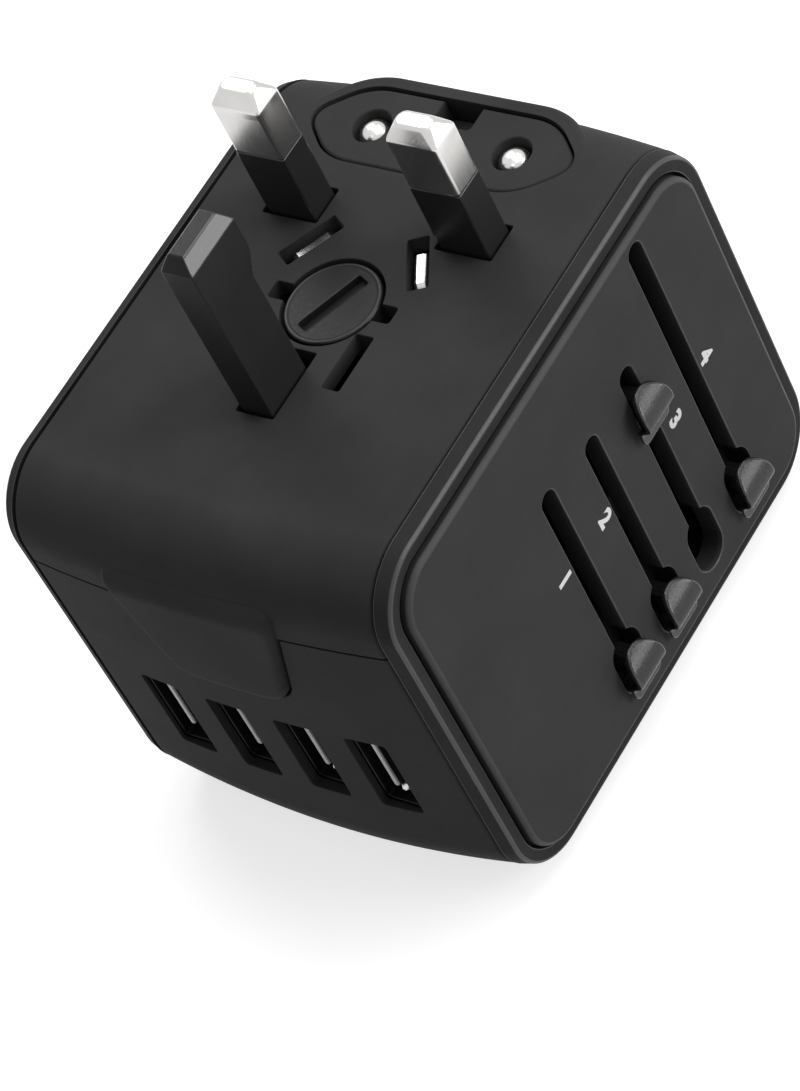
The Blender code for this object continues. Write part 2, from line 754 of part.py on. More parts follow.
def earth_span():
    """Low and high end, along Y, of the earth pin's wide tip."""
    centre = PIN_ROW_Y - UK_PITCH
    return centre - EARTH_HEIGHT / 2, centre + EARTH_HEIGHT / 2


def us_places():
    return [("us_blade_right", PLUG_X + US_PITCH / 2), ("us_blade_left", PLUG_X - US_PITCH / 2)]


def aus_places():
    return [
        ("aus_blade_right", PLUG_X + AUS_PITCH / 2, AUS_SLANT),
        ("aus_blade_left", PLUG_X - AUS_PITCH / 2, -AUS_SLANT),
    ]


def section(centre, width, thick, radius, z):
    """A rounded rectangle lying on the plane at this height."""
    low = (centre[0] - width / 2, centre[1] - thick / 2)
    high = (centre[0] + width / 2, centre[1] + thick / 2)
    return [lay(p, "Z", z) for p in rounded_outline(low, high, radius, 3)]


def uk_carriage_levels():
    """Low and high face of the UK carriage with the pins out."""
    top = INNER_TOP - CARRIAGE_GAP
    return top - CARRIAGE_THICK, top


def uk_plug(black, steel):
    """The UK pins with their sleeves, the earth pin, and the carriage that slides them."""
    body = empty("uk_plug", (PLUG_X, PIN_ROW_Y, PLUG_Z))
    low, top = uk_carriage_levels()
    core = (UK_PIN_WIDTH - 2 * (UK_SLEEVE_WALL + CLEAR), UK_PIN_THICK - 2 * (UK_SLEEVE_WALL + CLEAR))
    sleeve_top = PLUG_Z + UK_SLEEVE_LENGTH
    tip = PLUG_Z + UK_PIN_LENGTH
    edge = UK_SLEEVE_WALL
    carriage = piece("uk_carriage", prism(uk_carriage_outline(), "Z", low, top), black, body)
    knob_z = KNOB_REST_Z + UK_TRAVEL
    guide_plate("uk", carriage, UK_SLOT_Y, knob_z, GUIDE_FOOT + UK_TRAVEL, top - RIB_WIDTH - CLEAR)
    for name, x in uk_pin_places():
        centre = (x, PIN_ROW_Y)
        rings = [
            section(centre, *core, edge, low - UK_SLEEVE_WALL),
            section(centre, *core, edge, sleeve_top + CLEAR),
            section(centre, UK_PIN_WIDTH, UK_PIN_THICK, edge, sleeve_top + CLEAR),
            section(centre, UK_PIN_WIDTH, UK_PIN_THICK, edge, tip - UK_TIP_LENGTH),
            section(centre, UK_PIN_WIDTH - 2 * UK_TIP_INSET, UK_PIN_THICK - 2 * UK_TIP_INSET, edge, tip),
        ]
        piece(f"{name}_pin", loft(rings), steel, body)
        ends = (top + CLEAR, sleeve_top)
        sleeve_rings = [section(centre, UK_PIN_WIDTH, UK_PIN_THICK, edge, z) for z in ends]
        sleeve = piece(f"{name}_sleeve", loft(sleeve_rings), black, body)
        bore = (core[0] + 2 * CLEAR, core[1] + 2 * CLEAR)
        hole_rings = [section(centre, *bore, edge, z) for z in (low - BEYOND, tip)]
        hole = piece(f"{name}_bore", loft(hole_rings))
        cut(sleeve, hole)
        cut(carriage, hole)
    earth_pin(black, body, top, carriage)
    knob("uk_knob", UK_SLOT_Y, knob_z, body, black)


def uk_carriage_outline():
    """A bracket seen from above: a bar under line and neutral, a leg, and a foot under the earth pin."""
    bar_low = aus_reach() + RUN
    bar_high = PIN_ROW_Y + UK_PIN_THICK / 2 + CLEAR
    right = GUIDE_X - RIB_DEPTH
    left = PLUG_X - UK_PITCH / 2 - UK_PIN_WIDTH / 2 - LEG_WIDTH - CLEAR
    earth_low, earth_high = earth_span()
    foot_high = US_ROW_Y - US_BLADE_WIDTH / 2 - RUN
    foot_right = PLUG_X + EARTH_WIDTH / 2
    inner = left + LEG_WIDTH
    return [
        (right, bar_high),
        (left, bar_high),
        (left, earth_low),
        (foot_right, earth_low),
        (foot_right, foot_high),
        (inner, foot_high),
        (inner, bar_low),
        (right, bar_low),
    ]


def aus_reach():
    """How far along Y the slanted blades reach."""
    along = AUS_BLADE_WIDTH / 2 * math.cos(AUS_SLANT)
    return AUS_ROW_Y + along + AUS_BLADE_THICK / 2 * math.sin(AUS_SLANT)


def earth_pin(black, body, foot, carriage):
    """The plastic earth pin: a narrow stem, a wider head and a hipped tip, on a peg in the carriage."""
    low, high = earth_span()
    width = EARTH_WIDTH
    stem_high = low + EARTH_STEM
    tip = PLUG_Z + EARTH_LENGTH

    def ring(half, y_low, y_high, z):
        left, right = PLUG_X - half, PLUG_X + half
        corners = [(left, y_low), (right, y_low), (right, y_high), (left, y_high)]
        return [lay(p, "Z", z) for p in corners]

    rings = [
        ring(width / 2, low, stem_high, foot + CLEAR),
        ring(width / 2, low, stem_high, PLUG_Z + EARTH_WAIST_LOW),
        ring(width / 2, low, high, PLUG_Z + EARTH_WAIST_HIGH),
        ring(width / 2, low, high, tip - EARTH_TIP_LENGTH),
        ring(width / 2 - EARTH_TIP_INSET, low + EARTH_TIP_INSET, high - EARTH_TIP_INSET, tip),
    ]
    pin = piece("uk_earth_pin", loft(rings), black, body)
    peg_half = EARTH_WIDTH / 4
    peg_low = low + EARTH_WIDTH / 4
    peg_high = US_ROW_Y - US_BLADE_WIDTH / 2 - RUN - EARTH_WIDTH / 4
    foot_low = uk_carriage_levels()[0]
    peg = box((PLUG_X - peg_half, peg_low, foot_low), (PLUG_X + peg_half, peg_high, foot + 2 * CLEAR))
    join(pin, piece("earth_peg", peg))
    hole = box(
        (PLUG_X - peg_half - CLEAR, peg_low - CLEAR, foot_low - CLEAR),
        (PLUG_X + peg_half + CLEAR, peg_high + CLEAR, foot + 2 * CLEAR),
    )
    cut(carriage, piece("earth_peg_hole", hole))
    return pin


def blade(name, centre, width, thick, low, tip, turn, steel, parent):
    """A flat blade with a chamfered tip, on a narrow tang."""
    half, tang = width / 2, TANG_WIDTH / 2
    outline = [
        (-tang, low - TANG_LENGTH),
        (tang, low - TANG_LENGTH),
        (tang, low),
        (half, low),
        (half, tip - BLADE_CHAMFER),
        (half - BLADE_CHAMFER, tip),
        (BLADE_CHAMFER - half, tip),
        (-half, tip - BLADE_CHAMFER),
        (-half, low),
        (-tang, low),
    ]
    bm = prism(outline, "X", -thick / 2, thick / 2)
    bmesh.ops.rotate(bm, verts=bm.verts, matrix=Matrix.Rotation(turn, 3, "Z"))
    bmesh.ops.translate(bm, verts=bm.verts, vec=(*centre, 0.0))
    return piece(name, bm, steel, parent)


def tang_hole(name, centre, thick, turn):
    half = Vector((thick / 2 + CLEAR, TANG_WIDTH / 2 + CLEAR))
    return slot_box(name, centre, half, 0.0, PLUG_Z, turn)


def us_plug(black, steel):
    """Two parallel blades on a carriage that threads between the earth pin and the fuse holder."""
    body = empty("us_plug", (PLUG_X, US_ROW_Y, PLUG_Z))
    low, top = BLADE_BAR_TOP - CARRIAGE_THICK, BLADE_BAR_TOP
    carriage = piece("us_carriage", prism(us_carriage_outline(), "Z", low, top), black, body)
    guide_plate("us", carriage, US_SLOT_Y, KNOB_REST_Z, GUIDE_FOOT, top)
    tip = PLUG_Z - US_TIP_DEPTH
    for name, x in us_places():
        centre = (x, US_ROW_Y)
        blade(name, centre, US_BLADE_WIDTH, US_BLADE_THICK, top + CLEAR, tip, 0.0, steel, body)
        cut(carriage, tang_hole(f"{name}_tang_hole", centre, US_BLADE_THICK, 0.0))
    knob("us_knob", US_SLOT_Y, KNOB_REST_Z, body, black)


def us_carriage_outline():
    """A bridge seen from above, narrow where it passes the earth pin."""
    bridge_low = earth_span()[1] + RUN
    bridge_high = FUSE_Y - holder_radius() - RUN
    pad_low = US_ROW_Y - TANG_WIDTH / 2 - 2 * CLEAR
    right = GUIDE_X
    far = PLUG_X - US_PITCH / 2 - PAD_WIDTH / 2
    near = PLUG_X + US_PITCH / 2 - PAD_WIDTH / 2
    return [
        (right, bridge_high),
        (far, bridge_high),
        (far, pad_low),
        (far + PAD_WIDTH, pad_low),
        (far + PAD_WIDTH, bridge_low),
        (near, bridge_low),
        (near, pad_low),
        (right, pad_low),
    ]


def aus_plug(black, steel):
    """Two slanted blades on a carriage that passes on the other side of the fuse holder."""
    body = empty("aus_plug", (PLUG_X, AUS_ROW_Y, PLUG_Z))
    low, top = BLADE_BAR_TOP - CARRIAGE_THICK, BLADE_BAR_TOP
    carriage = piece("aus_carriage", prism(aus_carriage_outline(), "Z", low, top), black, body)
    guide_plate("aus", carriage, AUS_SLOT_Y, KNOB_REST_Z, GUIDE_FOOT, top)
    tip = PLUG_Z - AUS_TIP_DEPTH
    for name, x, slant in aus_places():
        centre = (x, AUS_ROW_Y)
        blade(name, centre, AUS_BLADE_WIDTH, AUS_BLADE_THICK, top + CLEAR, tip, slant, steel, body)
        cut(carriage, tang_hole(f"{name}_tang_hole", centre, AUS_BLADE_THICK, slant))
    knob("aus_knob", AUS_SLOT_Y, KNOB_REST_Z, body, black)


def aus_carriage_outline():
    """A cranked bar seen from above: under the blades, then across to its own guide slot."""
    bar_low = FUSE_Y + holder_radius() + RUN
    bar_high = PIN_ROW_Y - UK_PIN_THICK / 2 - 2 * RUN
    half = GUIDE_WIDTH / 2
    right = GUIDE_X
    crank = UK_PITCH / 2 + UK_PIN_WIDTH / 2 + PAD_WIDTH / 2
    far = PLUG_X - AUS_PITCH / 2 - PAD_WIDTH / 2
    return [
        (right, AUS_SLOT_Y + half),
        (crank, AUS_SLOT_Y + half),
        (crank, bar_high),
        (far, bar_high),
        (far, bar_low),
        (crank - PAD_WIDTH, bar_low),
        (crank - PAD_WIDTH, AUS_SLOT_Y - half),
        (right, AUS_SLOT_Y - half),
    ]


def euro_pin_places():
    return [("euro_pin_right", PLUG_X + EURO_PITCH / 2), ("euro_pin_left", PLUG_X - EURO_PITCH / 2)]


def euro_plug(black, dark, steel):
    """The euro block, which comes out by part of the slider's travel, and the round pins inside it."""
    block_body = empty("euro_block_body", (PLUG_X, EURO_Y, PLUG_Z))
    top = PLUG_Z - EURO_SINK
    floor = EURO_FLOOR
    block = piece("euro_block", prism(euro_outline(0.0), "Z", floor, top), dark, block_body)
    rounded(block, BLOCK_EDGE, 1)
    edge = EURO_Y + EURO_WIDTH / 2
    notch = box(
        (PLUG_X - EURO_NOTCH_WIDTH / 2, edge - EURO_NOTCH_DEPTH, top - EURO_NOTCH_FLOOR),
        (PLUG_X + EURO_NOTCH_WIDTH / 2, edge + BEYOND, top + BEYOND),
    )
    cut(block, piece("euro_notch", notch))
    pin_body = empty("euro_pins_body", (PLUG_X, EURO_Y, PLUG_Z))
    bar_low, bar_top = EURO_BAR_LOW, EURO_BAR_TOP
    bar = prism(euro_carriage_outline(), "Z", bar_low, bar_top)
    carriage = piece("euro_carriage", bar, black, pin_body)
    plate_top = INNER_TOP - RIB_WIDTH - 3 * CLEAR - EURO_PIN_TRAVEL
    guide_plate("euro", carriage, EU_SLOT_Y, KNOB_REST_Z, bar_low, plate_top)
    radius = EURO_PIN_DIAMETER / 2
    foot = (bar_low + bar_top) / 2
    for name, x in euro_pin_places():
        place = (x, EURO_Y)
        bore = drum(EURO_BORE / 2, floor - BEYOND, top + BEYOND, place, segments=24)
        mouth = drum(EURO_MOUTH / 2, top - radius, top + BEYOND, place, segments=24)
        cut(block, piece(f"{name}_bore", bore), piece(f"{name}_mouth", mouth))
        tip = PLUG_Z - EURO_TIP_DEPTH
        ball = arc((0.0, tip - radius), radius, 90.0, 0.0, 5)
        profile = [*ball, (radius, foot), (0.0, foot)]
        turned(name, profile, place, steel, pin_body, 16)
        seat = drum(radius + CLEAR, foot - CLEAR, bar_top + BEYOND, place, segments=24)
        cut(carriage, piece(f"{name}_seat", seat))
    knob("euro_knob", EU_SLOT_Y, KNOB_REST_Z, pin_body, black)


def euro_carriage_outline():
    """A cranked bar seen from above: under the round pins, then across to its guide slot."""
    half = GUIDE_WIDTH / 2
    bar = EURO_PIN_DIAMETER / 2 + 4 * CLEAR
    right = GUIDE_X
    crank = PLUG_X + EURO_PITCH / 2 + EURO_PIN_DIAMETER / 2 + PAD_WIDTH
    far = PLUG_X - EURO_PITCH / 2 - EURO_PIN_DIAMETER
    return [
        (right, EU_SLOT_Y - half),
        (right, EU_SLOT_Y + half),
        (crank, EU_SLOT_Y + half),
        (crank, EURO_Y + bar),
        (far, EURO_Y + bar),
        (far, EURO_Y - bar),
        (crank - PAD_WIDTH, EURO_Y - bar),
        (crank - PAD_WIDTH, EU_SLOT_Y - half),
    ]


def holder_radius():
    return FUSE_DIAMETER / 2 + CLEAR + HOLDER_WALL


def fuse_set(black, dark, ceramic, brass, steel):
    """The bayonet cap, the fuse with its end caps, the contact below it and the holder tube."""
    place = (FUSE_X, FUSE_Y)
    cap_body = empty("fuse_cap_body", (*place, PLUG_Z))
    top = PLUG_Z - FUSE_CAP_SINK
    cap_low = top - FUSE_CAP_THICK
    radius = FUSE_CAP_DIAMETER / 2
    fuse_radius = FUSE_DIAMETER / 2
    bore = fuse_radius + CLEAR
    flange_top = cap_low - CLEAR
    fuse_top = flange_top - HOLDER_FLANGE
    edge = FUSE_CAP_SINK * 3
    profile = [
        (0.0, top),
        (radius - edge, top),
        (radius, top - edge),
        (radius, cap_low),
        (fuse_radius, cap_low),
        (fuse_radius, fuse_top + CLEAR),
        (0.0, fuse_top + CLEAR),
    ]
    cap = turned("fuse_cap", profile, place, dark, cap_body)
    half = Vector((FUSE_SLOT_LENGTH / 2, FUSE_SLOT_WIDTH / 2))
    floor = top - FUSE_SLOT_DEPTH
    cut(cap, slot_box("fuse_driver_slot", place, half, floor, top + BEYOND, FUSE_SLOT_TURN))
    lug_low = (FUSE_X - FUSE_LUG_WIDTH / 2, FUSE_Y - radius - FUSE_LUG_REACH, cap_low)
    lug_high = (FUSE_X + FUSE_LUG_WIDTH / 2, FUSE_Y + radius + FUSE_LUG_REACH, INNER_TOP - CLEAR)
    join(cap, piece("fuse_lugs", box(lug_low, lug_high)))
    fuse_low = fuse_top - FUSE_LENGTH
    end = FUSE_END_LENGTH
    for name, low, high, surface in (
        ("fuse_ferrule_top", fuse_top - end, fuse_top, steel),
        ("fuse_tube", fuse_low + end + CLEAR, fuse_top - end - CLEAR, ceramic),
        ("fuse_ferrule_low", fuse_low, fuse_low + end, steel),
    ):
        piece(name, drum(fuse_radius, low, high, place, segments=24), surface)
    contact_top = fuse_low - CLEAR
    contact_low = contact_top - FUSE_CONTACT_THICK
    piece("fuse_contact", drum(fuse_radius, contact_low, contact_top, place, segments=24), brass)
    floor = contact_low - CLEAR
    holder = [
        (bore, flange_top),
        (radius, flange_top),
        (radius, flange_top - HOLDER_FLANGE),
        (holder_radius(), flange_top - HOLDER_FLANGE),
        (holder_radius(), floor - HOLDER_WALL),
        (0.0, floor - HOLDER_WALL),
    ]
    inside = [(0.0, floor), (bore, floor), (bore, flange_top)]
    turned("fuse_holder", holder + inside, place, black, steps=24)


def usb_ports(steel, white):
    """The metal shells of the ports, each with the plastic tongue that carries its contacts."""
    front = usb_front()
    back = front + USB_SHELL_DEPTH
    wall = USB_SHELL_WALL
    for number, x in usb_places():
        shell = piece(f"usb_shell_{number}", usb_box(x, wall, front, back), steel)
        hollow = usb_box(x, 0.0, front - BEYOND, back - wall)
        cut(shell, piece(f"usb_shell_{number}_hollow", hollow))
        middle = x - USB_TONGUE_OFFSET
        low = (middle - USB_TONGUE_THICK / 2, front + USB_TONGUE_SETBACK, USB_Z - USB_TONGUE_HEIGHT / 2)
        high = (middle + USB_TONGUE_THICK / 2, back - wall - CLEAR, USB_Z + USB_TONGUE_HEIGHT / 2)
        piece(f"usb_tongue_{number}", box(low, high), white)


def supply_board(green, black, yellow):
    """The circuit board behind the ports, with the transformer and the capacitor of the USB supply."""
    front = usb_front() + USB_SHELL_DEPTH + CLEAR
    low = (-BOARD_WIDTH / 2, front, BOARD_LOW)
    piece("usb_board", box(low, (BOARD_WIDTH / 2, front + BOARD_THICK, BOARD_LOW + BOARD_HEIGHT)), green)
    wide, deep, tall = TRANSFORMER_SIZE
    back = front - CLEAR
    transformer = box(
        (TRANSFORMER_X - wide / 2, back - deep, PARTS_Z - tall / 2),
        (TRANSFORMER_X + wide / 2, back, PARTS_Z + tall / 2),
    )
    rounded(piece("transformer", transformer, yellow), TRANSFORMER_EDGE)
    radius = CAPACITOR_DIAMETER / 2
    ends = (CAPACITOR_X - CAPACITOR_LENGTH / 2, CAPACITOR_X + CAPACITOR_LENGTH / 2)
    can = drum(radius, *ends, (back - radius, PARTS_Z), "X", 24)
    rounded(piece("capacitor", can, black), CAPACITOR_EDGE)


def socket_holes():
    """Cutters for the shared holes of the outlet: round, flat, slanted and oblong pins, and the earths."""
    low, high = -BEYOND, SOCKET_THICK + BEYOND
    holes = []
    grow = HOLE_MARGIN
    oblong = Vector((UK_PIN_WIDTH / 2 + grow, UK_PIN_THICK / 2 + grow))
    flat = Vector((US_BLADE_THICK / 2 + grow, US_BLADE_WIDTH / 2 + grow))
    slanted = Vector((AUS_BLADE_THICK / 2 + grow, AUS_BLADE_WIDTH / 2 + grow))
    for word, side in (("right", 1), ("left", -1)):
        for kind, pitch, half, turn in (
            ("oblong", UK_PITCH, oblong, 0.0),
            ("flat", US_PITCH, flat, 0.0),
            ("slanted", AUS_PITCH, slanted, -side * AUS_SLANT),
        ):
            place = (side * pitch / 2, SOCKET_ROW_Y)
            holes.append(slot_box(f"{kind}_hole_{word}", place, half, low, high, turn))
        place = (side * EURO_PITCH / 2, SOCKET_ROW_Y)
        pin_hole = drum(EURO_PIN_DIAMETER / 2 + grow, low, high, place, segments=24)
        holes.append(piece(f"round_hole_{word}", pin_hole))
    earth = Vector((SOCKET_EARTH_WIDTH / 2, SOCKET_EARTH_LENGTH / 2))
    holes.append(slot_box("earth_hole", (0.0, SOCKET_ROW_Y + UK_PITCH), earth, low, high))
    ground = Vector((AUS_BLADE_THICK / 2 + HOLE_MARGIN, GROUND_SLOT_LENGTH / 2))
    holes.append(slot_box("ground_hole", (0.0, SOCKET_ROW_Y + GROUND_SLOT_Y), ground, low, high))
    return holes


def socket_set(black, brass, grey):
    """The socket plate, the shutter that closes its holes, the contact frame and the contacts."""
    outline = rounded_outline(
        (-SOCKET_WIDTH / 2, -SOCKET_LENGTH / 2), (SOCKET_WIDTH / 2, SOCKET_LENGTH / 2), SOCKET_CORNER
    )
    plate = piece("socket_plate", prism(outline, "Z", 0.0, SOCKET_THICK), black)
    cut(plate, *socket_holes())
    shutter_body = empty("shutter_body", (0.0, SOCKET_ROW_Y, SOCKET_THICK))
    frame_half = SOCKET_WIDTH / 2 - 2 * CLEAR
    shutter_half = frame_half - FRAME_WALL - RUN
    low = SOCKET_THICK + RUN
    high = low + SHUTTER_THICK
    back = SOCKET_ROW_Y + FRAME_BEAM / 2
    plank = box((-shutter_half, back - SHUTTER_LENGTH, low), (shutter_half, back, high))
    shutter = piece("socket_shutter", plank, grey, shutter_body)
    window_y = SOCKET_ROW_Y - SHUTTER_TRAVEL
    near = US_PITCH / 2 - US_BLADE_THICK
    far = UK_PITCH / 2 + UK_PIN_WIDTH / 2 + HOLE_MARGIN
    for word, side in (("right", 1), ("left", -1)):
        low_x, high_x = sorted((side * near, side * far))
        window = box(
            (low_x, window_y - SHUTTER_WINDOW / 2, low - BEYOND),
            (high_x, window_y + SHUTTER_WINDOW / 2, high + BEYOND),
        )
        cut(shutter, piece(f"shutter_window_{word}", window))
    contact_frame(frame_half, black, brass, low)


def contact_frame(half, black, brass, low):
    """Two side walls joined by a beam, which holds a contact clip over each pair of holes."""
    low_y, high_y = SOCKET_ROW_Y - FRAME_LENGTH / 2, SOCKET_ROW_Y + FRAME_LENGTH / 2
    beam_low = FRAME_TOP - FRAME_WALL
    frame = piece("contact_frame", box((-half, low_y, low), (half, high_y, FRAME_TOP)), black)
    under = box((FRAME_WALL - half, low_y - BEYOND, 0.0), (half - FRAME_WALL, high_y + BEYOND, beam_low))
    cut(frame, piece("frame_passage", under))
    for word, y_low, y_high in (
        ("front", low_y - BEYOND, SOCKET_ROW_Y - FRAME_BEAM / 2),
        ("back", SOCKET_ROW_Y + FRAME_BEAM / 2, high_y + BEYOND),
    ):
        opening = box(
            (FRAME_WALL - half, y_low, beam_low - FRAME_WALL),
            (half - FRAME_WALL, y_high, FRAME_TOP + FRAME_WALL),
        )
        cut(frame, piece(f"frame_{word}_opening", opening))
    top = beam_low - CLEAR
    foot = low + SHUTTER_THICK + 2 * RUN
    reach = half - FRAME_WALL - CONTACT_MARGIN
    clip_half = CONTACT_GAP / 2 + CONTACT_THICK
    for word, side in (("line", 1), ("neutral", -1)):
        low_x, high_x = sorted((side * reach, side * (reach - CONTACT_WIDTH)))
        outer = box((low_x, SOCKET_ROW_Y - clip_half, foot), (high_x, SOCKET_ROW_Y + clip_half, top))
        clip = piece(f"contact_{word}", outer, brass)
        gap = box(
            (low_x - BEYOND, SOCKET_ROW_Y - CONTACT_GAP / 2, foot - BEYOND),
            (high_x + BEYOND, SOCKET_ROW_Y + CONTACT_GAP / 2, top - CONTACT_THICK),
        )
        cut(clip, piece(f"contact_{word}_gap", gap))


def main():
    global PARTS, CUTTERS
    for old in list(bpy.data.objects):
        bpy.data.objects.remove(old)
    PARTS = bpy.data.collections.new("travel_adapter")
    CUTTERS = bpy.data.collections.new("cutters")
    bpy.context.scene.collection.children.link(PARTS)
    bpy.context.scene.collection.children.link(CUTTERS)
    black = material("black plastic", (0.028, 0.028, 0.030), 0.55)
    dark = material("dark plastic", (0.022, 0.022, 0.024), 0.42)
    steel = material("nickel plate", (0.72, 0.71, 0.69), 0.18, 1.0)
    brass = material("brass", (0.60, 0.44, 0.18), 0.30, 1.0)
    ceramic = material("ceramic", (0.80, 0.78, 0.72), 0.40)
    white = material("white plastic", (0.75, 0.75, 0.73), 0.45)
    green = material("board", (0.03, 0.16, 0.07), 0.50)
    yellow = material("winding tape", (0.62, 0.50, 0.10), 0.45)
    grey = material("grey plastic", (0.16, 0.16, 0.17), 0.50)
    rear_cover(black)
    main_housing(black)
    slider_cover(black)
    side_cover("blank_side_cover", -1, BLANK_BAND, black)
    uk_plug(black, steel)
    us_plug(black, steel)
    aus_plug(black, steel)
    euro_plug(black, dark, steel)
    fuse_set(black, dark, ceramic, brass, steel)
    usb_ports(steel, white)
    supply_board(green, black, yellow)
    socket_set(black, brass, grey)


main()
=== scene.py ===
# %% [markdown]
# # A universal travel adapter
# A pocket-sized black block that turns one wall plug into another. Pins for several countries hide
# behind its plug face and come out when a knob on the side is pushed along its slot. The other faces
# carry a socket, four USB ports and a small fuse.
#
# The moving frame comes first: it holds every solid piece in its place and knows what slides or turns.
# The lesson then dresses that frame with finer surfaces. All sizes are in metres, +Z points out of the
# plug face, +X out of the side with the sliders and -Y out of the USB side.

import math

import bmesh
import bpy
import numpy as np
from mathutils import Matrix, Vector


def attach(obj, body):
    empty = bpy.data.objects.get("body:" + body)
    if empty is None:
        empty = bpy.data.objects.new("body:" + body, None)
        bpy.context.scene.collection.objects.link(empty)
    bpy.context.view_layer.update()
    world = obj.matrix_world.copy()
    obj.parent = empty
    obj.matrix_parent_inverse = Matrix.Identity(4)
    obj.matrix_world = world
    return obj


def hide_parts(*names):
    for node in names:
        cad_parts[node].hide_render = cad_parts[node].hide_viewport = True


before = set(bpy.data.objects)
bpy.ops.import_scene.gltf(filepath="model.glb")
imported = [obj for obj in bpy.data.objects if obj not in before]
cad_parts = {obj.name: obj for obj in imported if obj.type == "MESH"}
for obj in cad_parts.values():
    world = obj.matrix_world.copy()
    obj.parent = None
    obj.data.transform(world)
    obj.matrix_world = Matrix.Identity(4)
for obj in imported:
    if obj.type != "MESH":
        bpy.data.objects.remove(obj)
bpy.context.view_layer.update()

# %% [markdown]
# ## Camera
# The picture was taken from above a corner, so that the plug face, the USB side and the slider side all
# show. A camera can be aimed by hand with a Track To constraint, but here its three axes are written
# out, because the view is known exactly: the mains pins have standard sizes, and their corners fix it.

# %% Camera
CAMERA_PLACE = (0.263156, -0.198555, 0.356868)
CAMERA_RIGHT = (0.798781, 0.493370, -0.344290)
CAMERA_UP = (-0.213010, 0.767127, 0.605098)
CAMERA_BACK = (0.562651, -0.410003, 0.717859)
LENS_MM = 97.375
SENSOR_MM = 24.0


def linked(name, data):
    """A new object for the data, put into the scene."""
    obj = bpy.data.objects.new(name, data)
    bpy.context.scene.collection.objects.link(obj)
    return obj


camera = linked("camera", bpy.data.cameras.new("camera"))
turn = Matrix((CAMERA_RIGHT, CAMERA_UP, CAMERA_BACK)).transposed().to_4x4()
camera.matrix_world = Matrix.Translation(CAMERA_PLACE) @ turn
camera.data.sensor_fit = "VERTICAL"
camera.data.sensor_height = SENSOR_MM
camera.data.lens = LENS_MM
camera.data.clip_start = 0.01
bpy.context.scene.camera = camera
bpy.context.scene.view_settings.view_transform = "Standard"
print("camera looks along", [round(-v, 3) for v in CAMERA_BACK])

# %% [markdown]
# ## Floor and light
# A product picture stands on a seamless white sweep. One large pale disc does the same. Rays from the
# camera, and rays mirrored by metal, see the floor and the world a little brighter, so that they come
# out white, while the light that falls on the adapter stays at a plain level. Three soft panels stand in
# for the studio's boxes: above, behind the plug face, and beside the sliders, where it lights the edges.

# %% Floor
FLOOR_RADIUS = 1.6
FLOOR_COLOUR = (0.58, 0.58, 0.58, 1.0)
FLOOR_LIFT = 0.70


def added(nodes, links, first, second):
    """The sum of two values, held between nought and one."""
    total = nodes.new("ShaderNodeMath")
    total.operation = "ADD"
    total.use_clamp = True
    links.new(first, total.inputs[0])
    links.new(second, total.inputs[1])
    return total.outputs[0]


def seen_rays(nodes, links):
    """One for camera, mirrored and see-through rays and nought for the rest: the sum of the three."""
    path = nodes.new("ShaderNodeLightPath").outputs
    seen = added(nodes, links, path["Is Camera Ray"], path["Is Glossy Ray"])
    return added(nodes, links, seen, path["Is Transmission Ray"])


def new_finish(name):
    """A new material with its nodes, its links and its shader."""
    finish = bpy.data.materials.new(name)
    finish.use_nodes = True
    return finish, finish.node_tree.nodes, finish.node_tree.links, finish.node_tree.nodes["Principled BSDF"]


def pale_floor():
    """A flat disc at height nought whose paper-white surface is lifted for seen rays only."""
    angle = np.linspace(0.0, 2.0 * np.pi, 97)[:-1]
    ring = np.stack([np.cos(angle), np.sin(angle), 0.0 * angle], 1) * FLOOR_RADIUS
    mesh = bpy.data.meshes.new("floor")
    mesh.from_pydata(ring, [], [list(range(len(ring)))])
    paper, nodes, links, shader = new_finish("white_sweep")
    shader.inputs["Base Color"].default_value = FLOOR_COLOUR
    shader.inputs["Roughness"].default_value = 0.9
    shader.inputs["Specular IOR Level"].default_value = 0.1
    shader.inputs["Emission Color"].default_value = (1.0, 1.0, 1.0, 1.0)
    lift = nodes.new("ShaderNodeMath")
    lift.operation = "MULTIPLY"
    lift.inputs[1].default_value = FLOOR_LIFT
    links.new(seen_rays(nodes, links), lift.inputs[0])
    links.new(lift.outputs[0], shader.inputs["Emission Strength"])
    mesh.materials.append(paper)
    floor = linked("floor", mesh)
    return floor


print("floor of", len(pale_floor().data.vertices), "corners")

# %% World and soft panels
WORLD_SOFT = 0.26


def white_world():
    """White for seen rays and a dimmer grey for the light that falls on the adapter."""
    world = bpy.data.worlds.new("studio")
    bpy.context.scene.world = world
    world.use_nodes = True
    nodes, links = world.node_tree.nodes, world.node_tree.links
    blend = nodes.new("ShaderNodeMix")
    blend.data_type = "FLOAT"
    blend.inputs["A"].default_value = WORLD_SOFT
    blend.inputs["B"].default_value = 1.0
    links.new(seen_rays(nodes, links), blend.inputs["Factor"])
    links.new(blend.outputs["Result"], nodes["Background"].inputs["Strength"])
    nodes["Background"].inputs["Color"].default_value = (1.0, 1.0, 1.0, 1.0)


def soft_panel(name, place, aim, size, watts):
    """A square area lamp at a place, turned so that it shines at an aim point."""
    lamp = bpy.data.lights.new(name, "AREA")
    lamp.energy = watts
    lamp.size = size
    panel = linked(name, lamp)
    panel.location = place
    panel.rotation_euler = (Vector(aim) - Vector(place)).to_track_quat("-Z", "Y").to_euler()


white_world()
AIM = (0.0, 0.0, 0.035)
soft_panel("panel_above", (0.10, 0.22, 0.62), AIM, 0.50, 2.4)
soft_panel("panel_behind", (-0.38, 0.28, 0.50), AIM, 0.30, 1.4)
soft_panel("panel_beside", (0.56, 0.27, 0.27), AIM, 0.36, 2.5)
print("three soft panels and a white world")

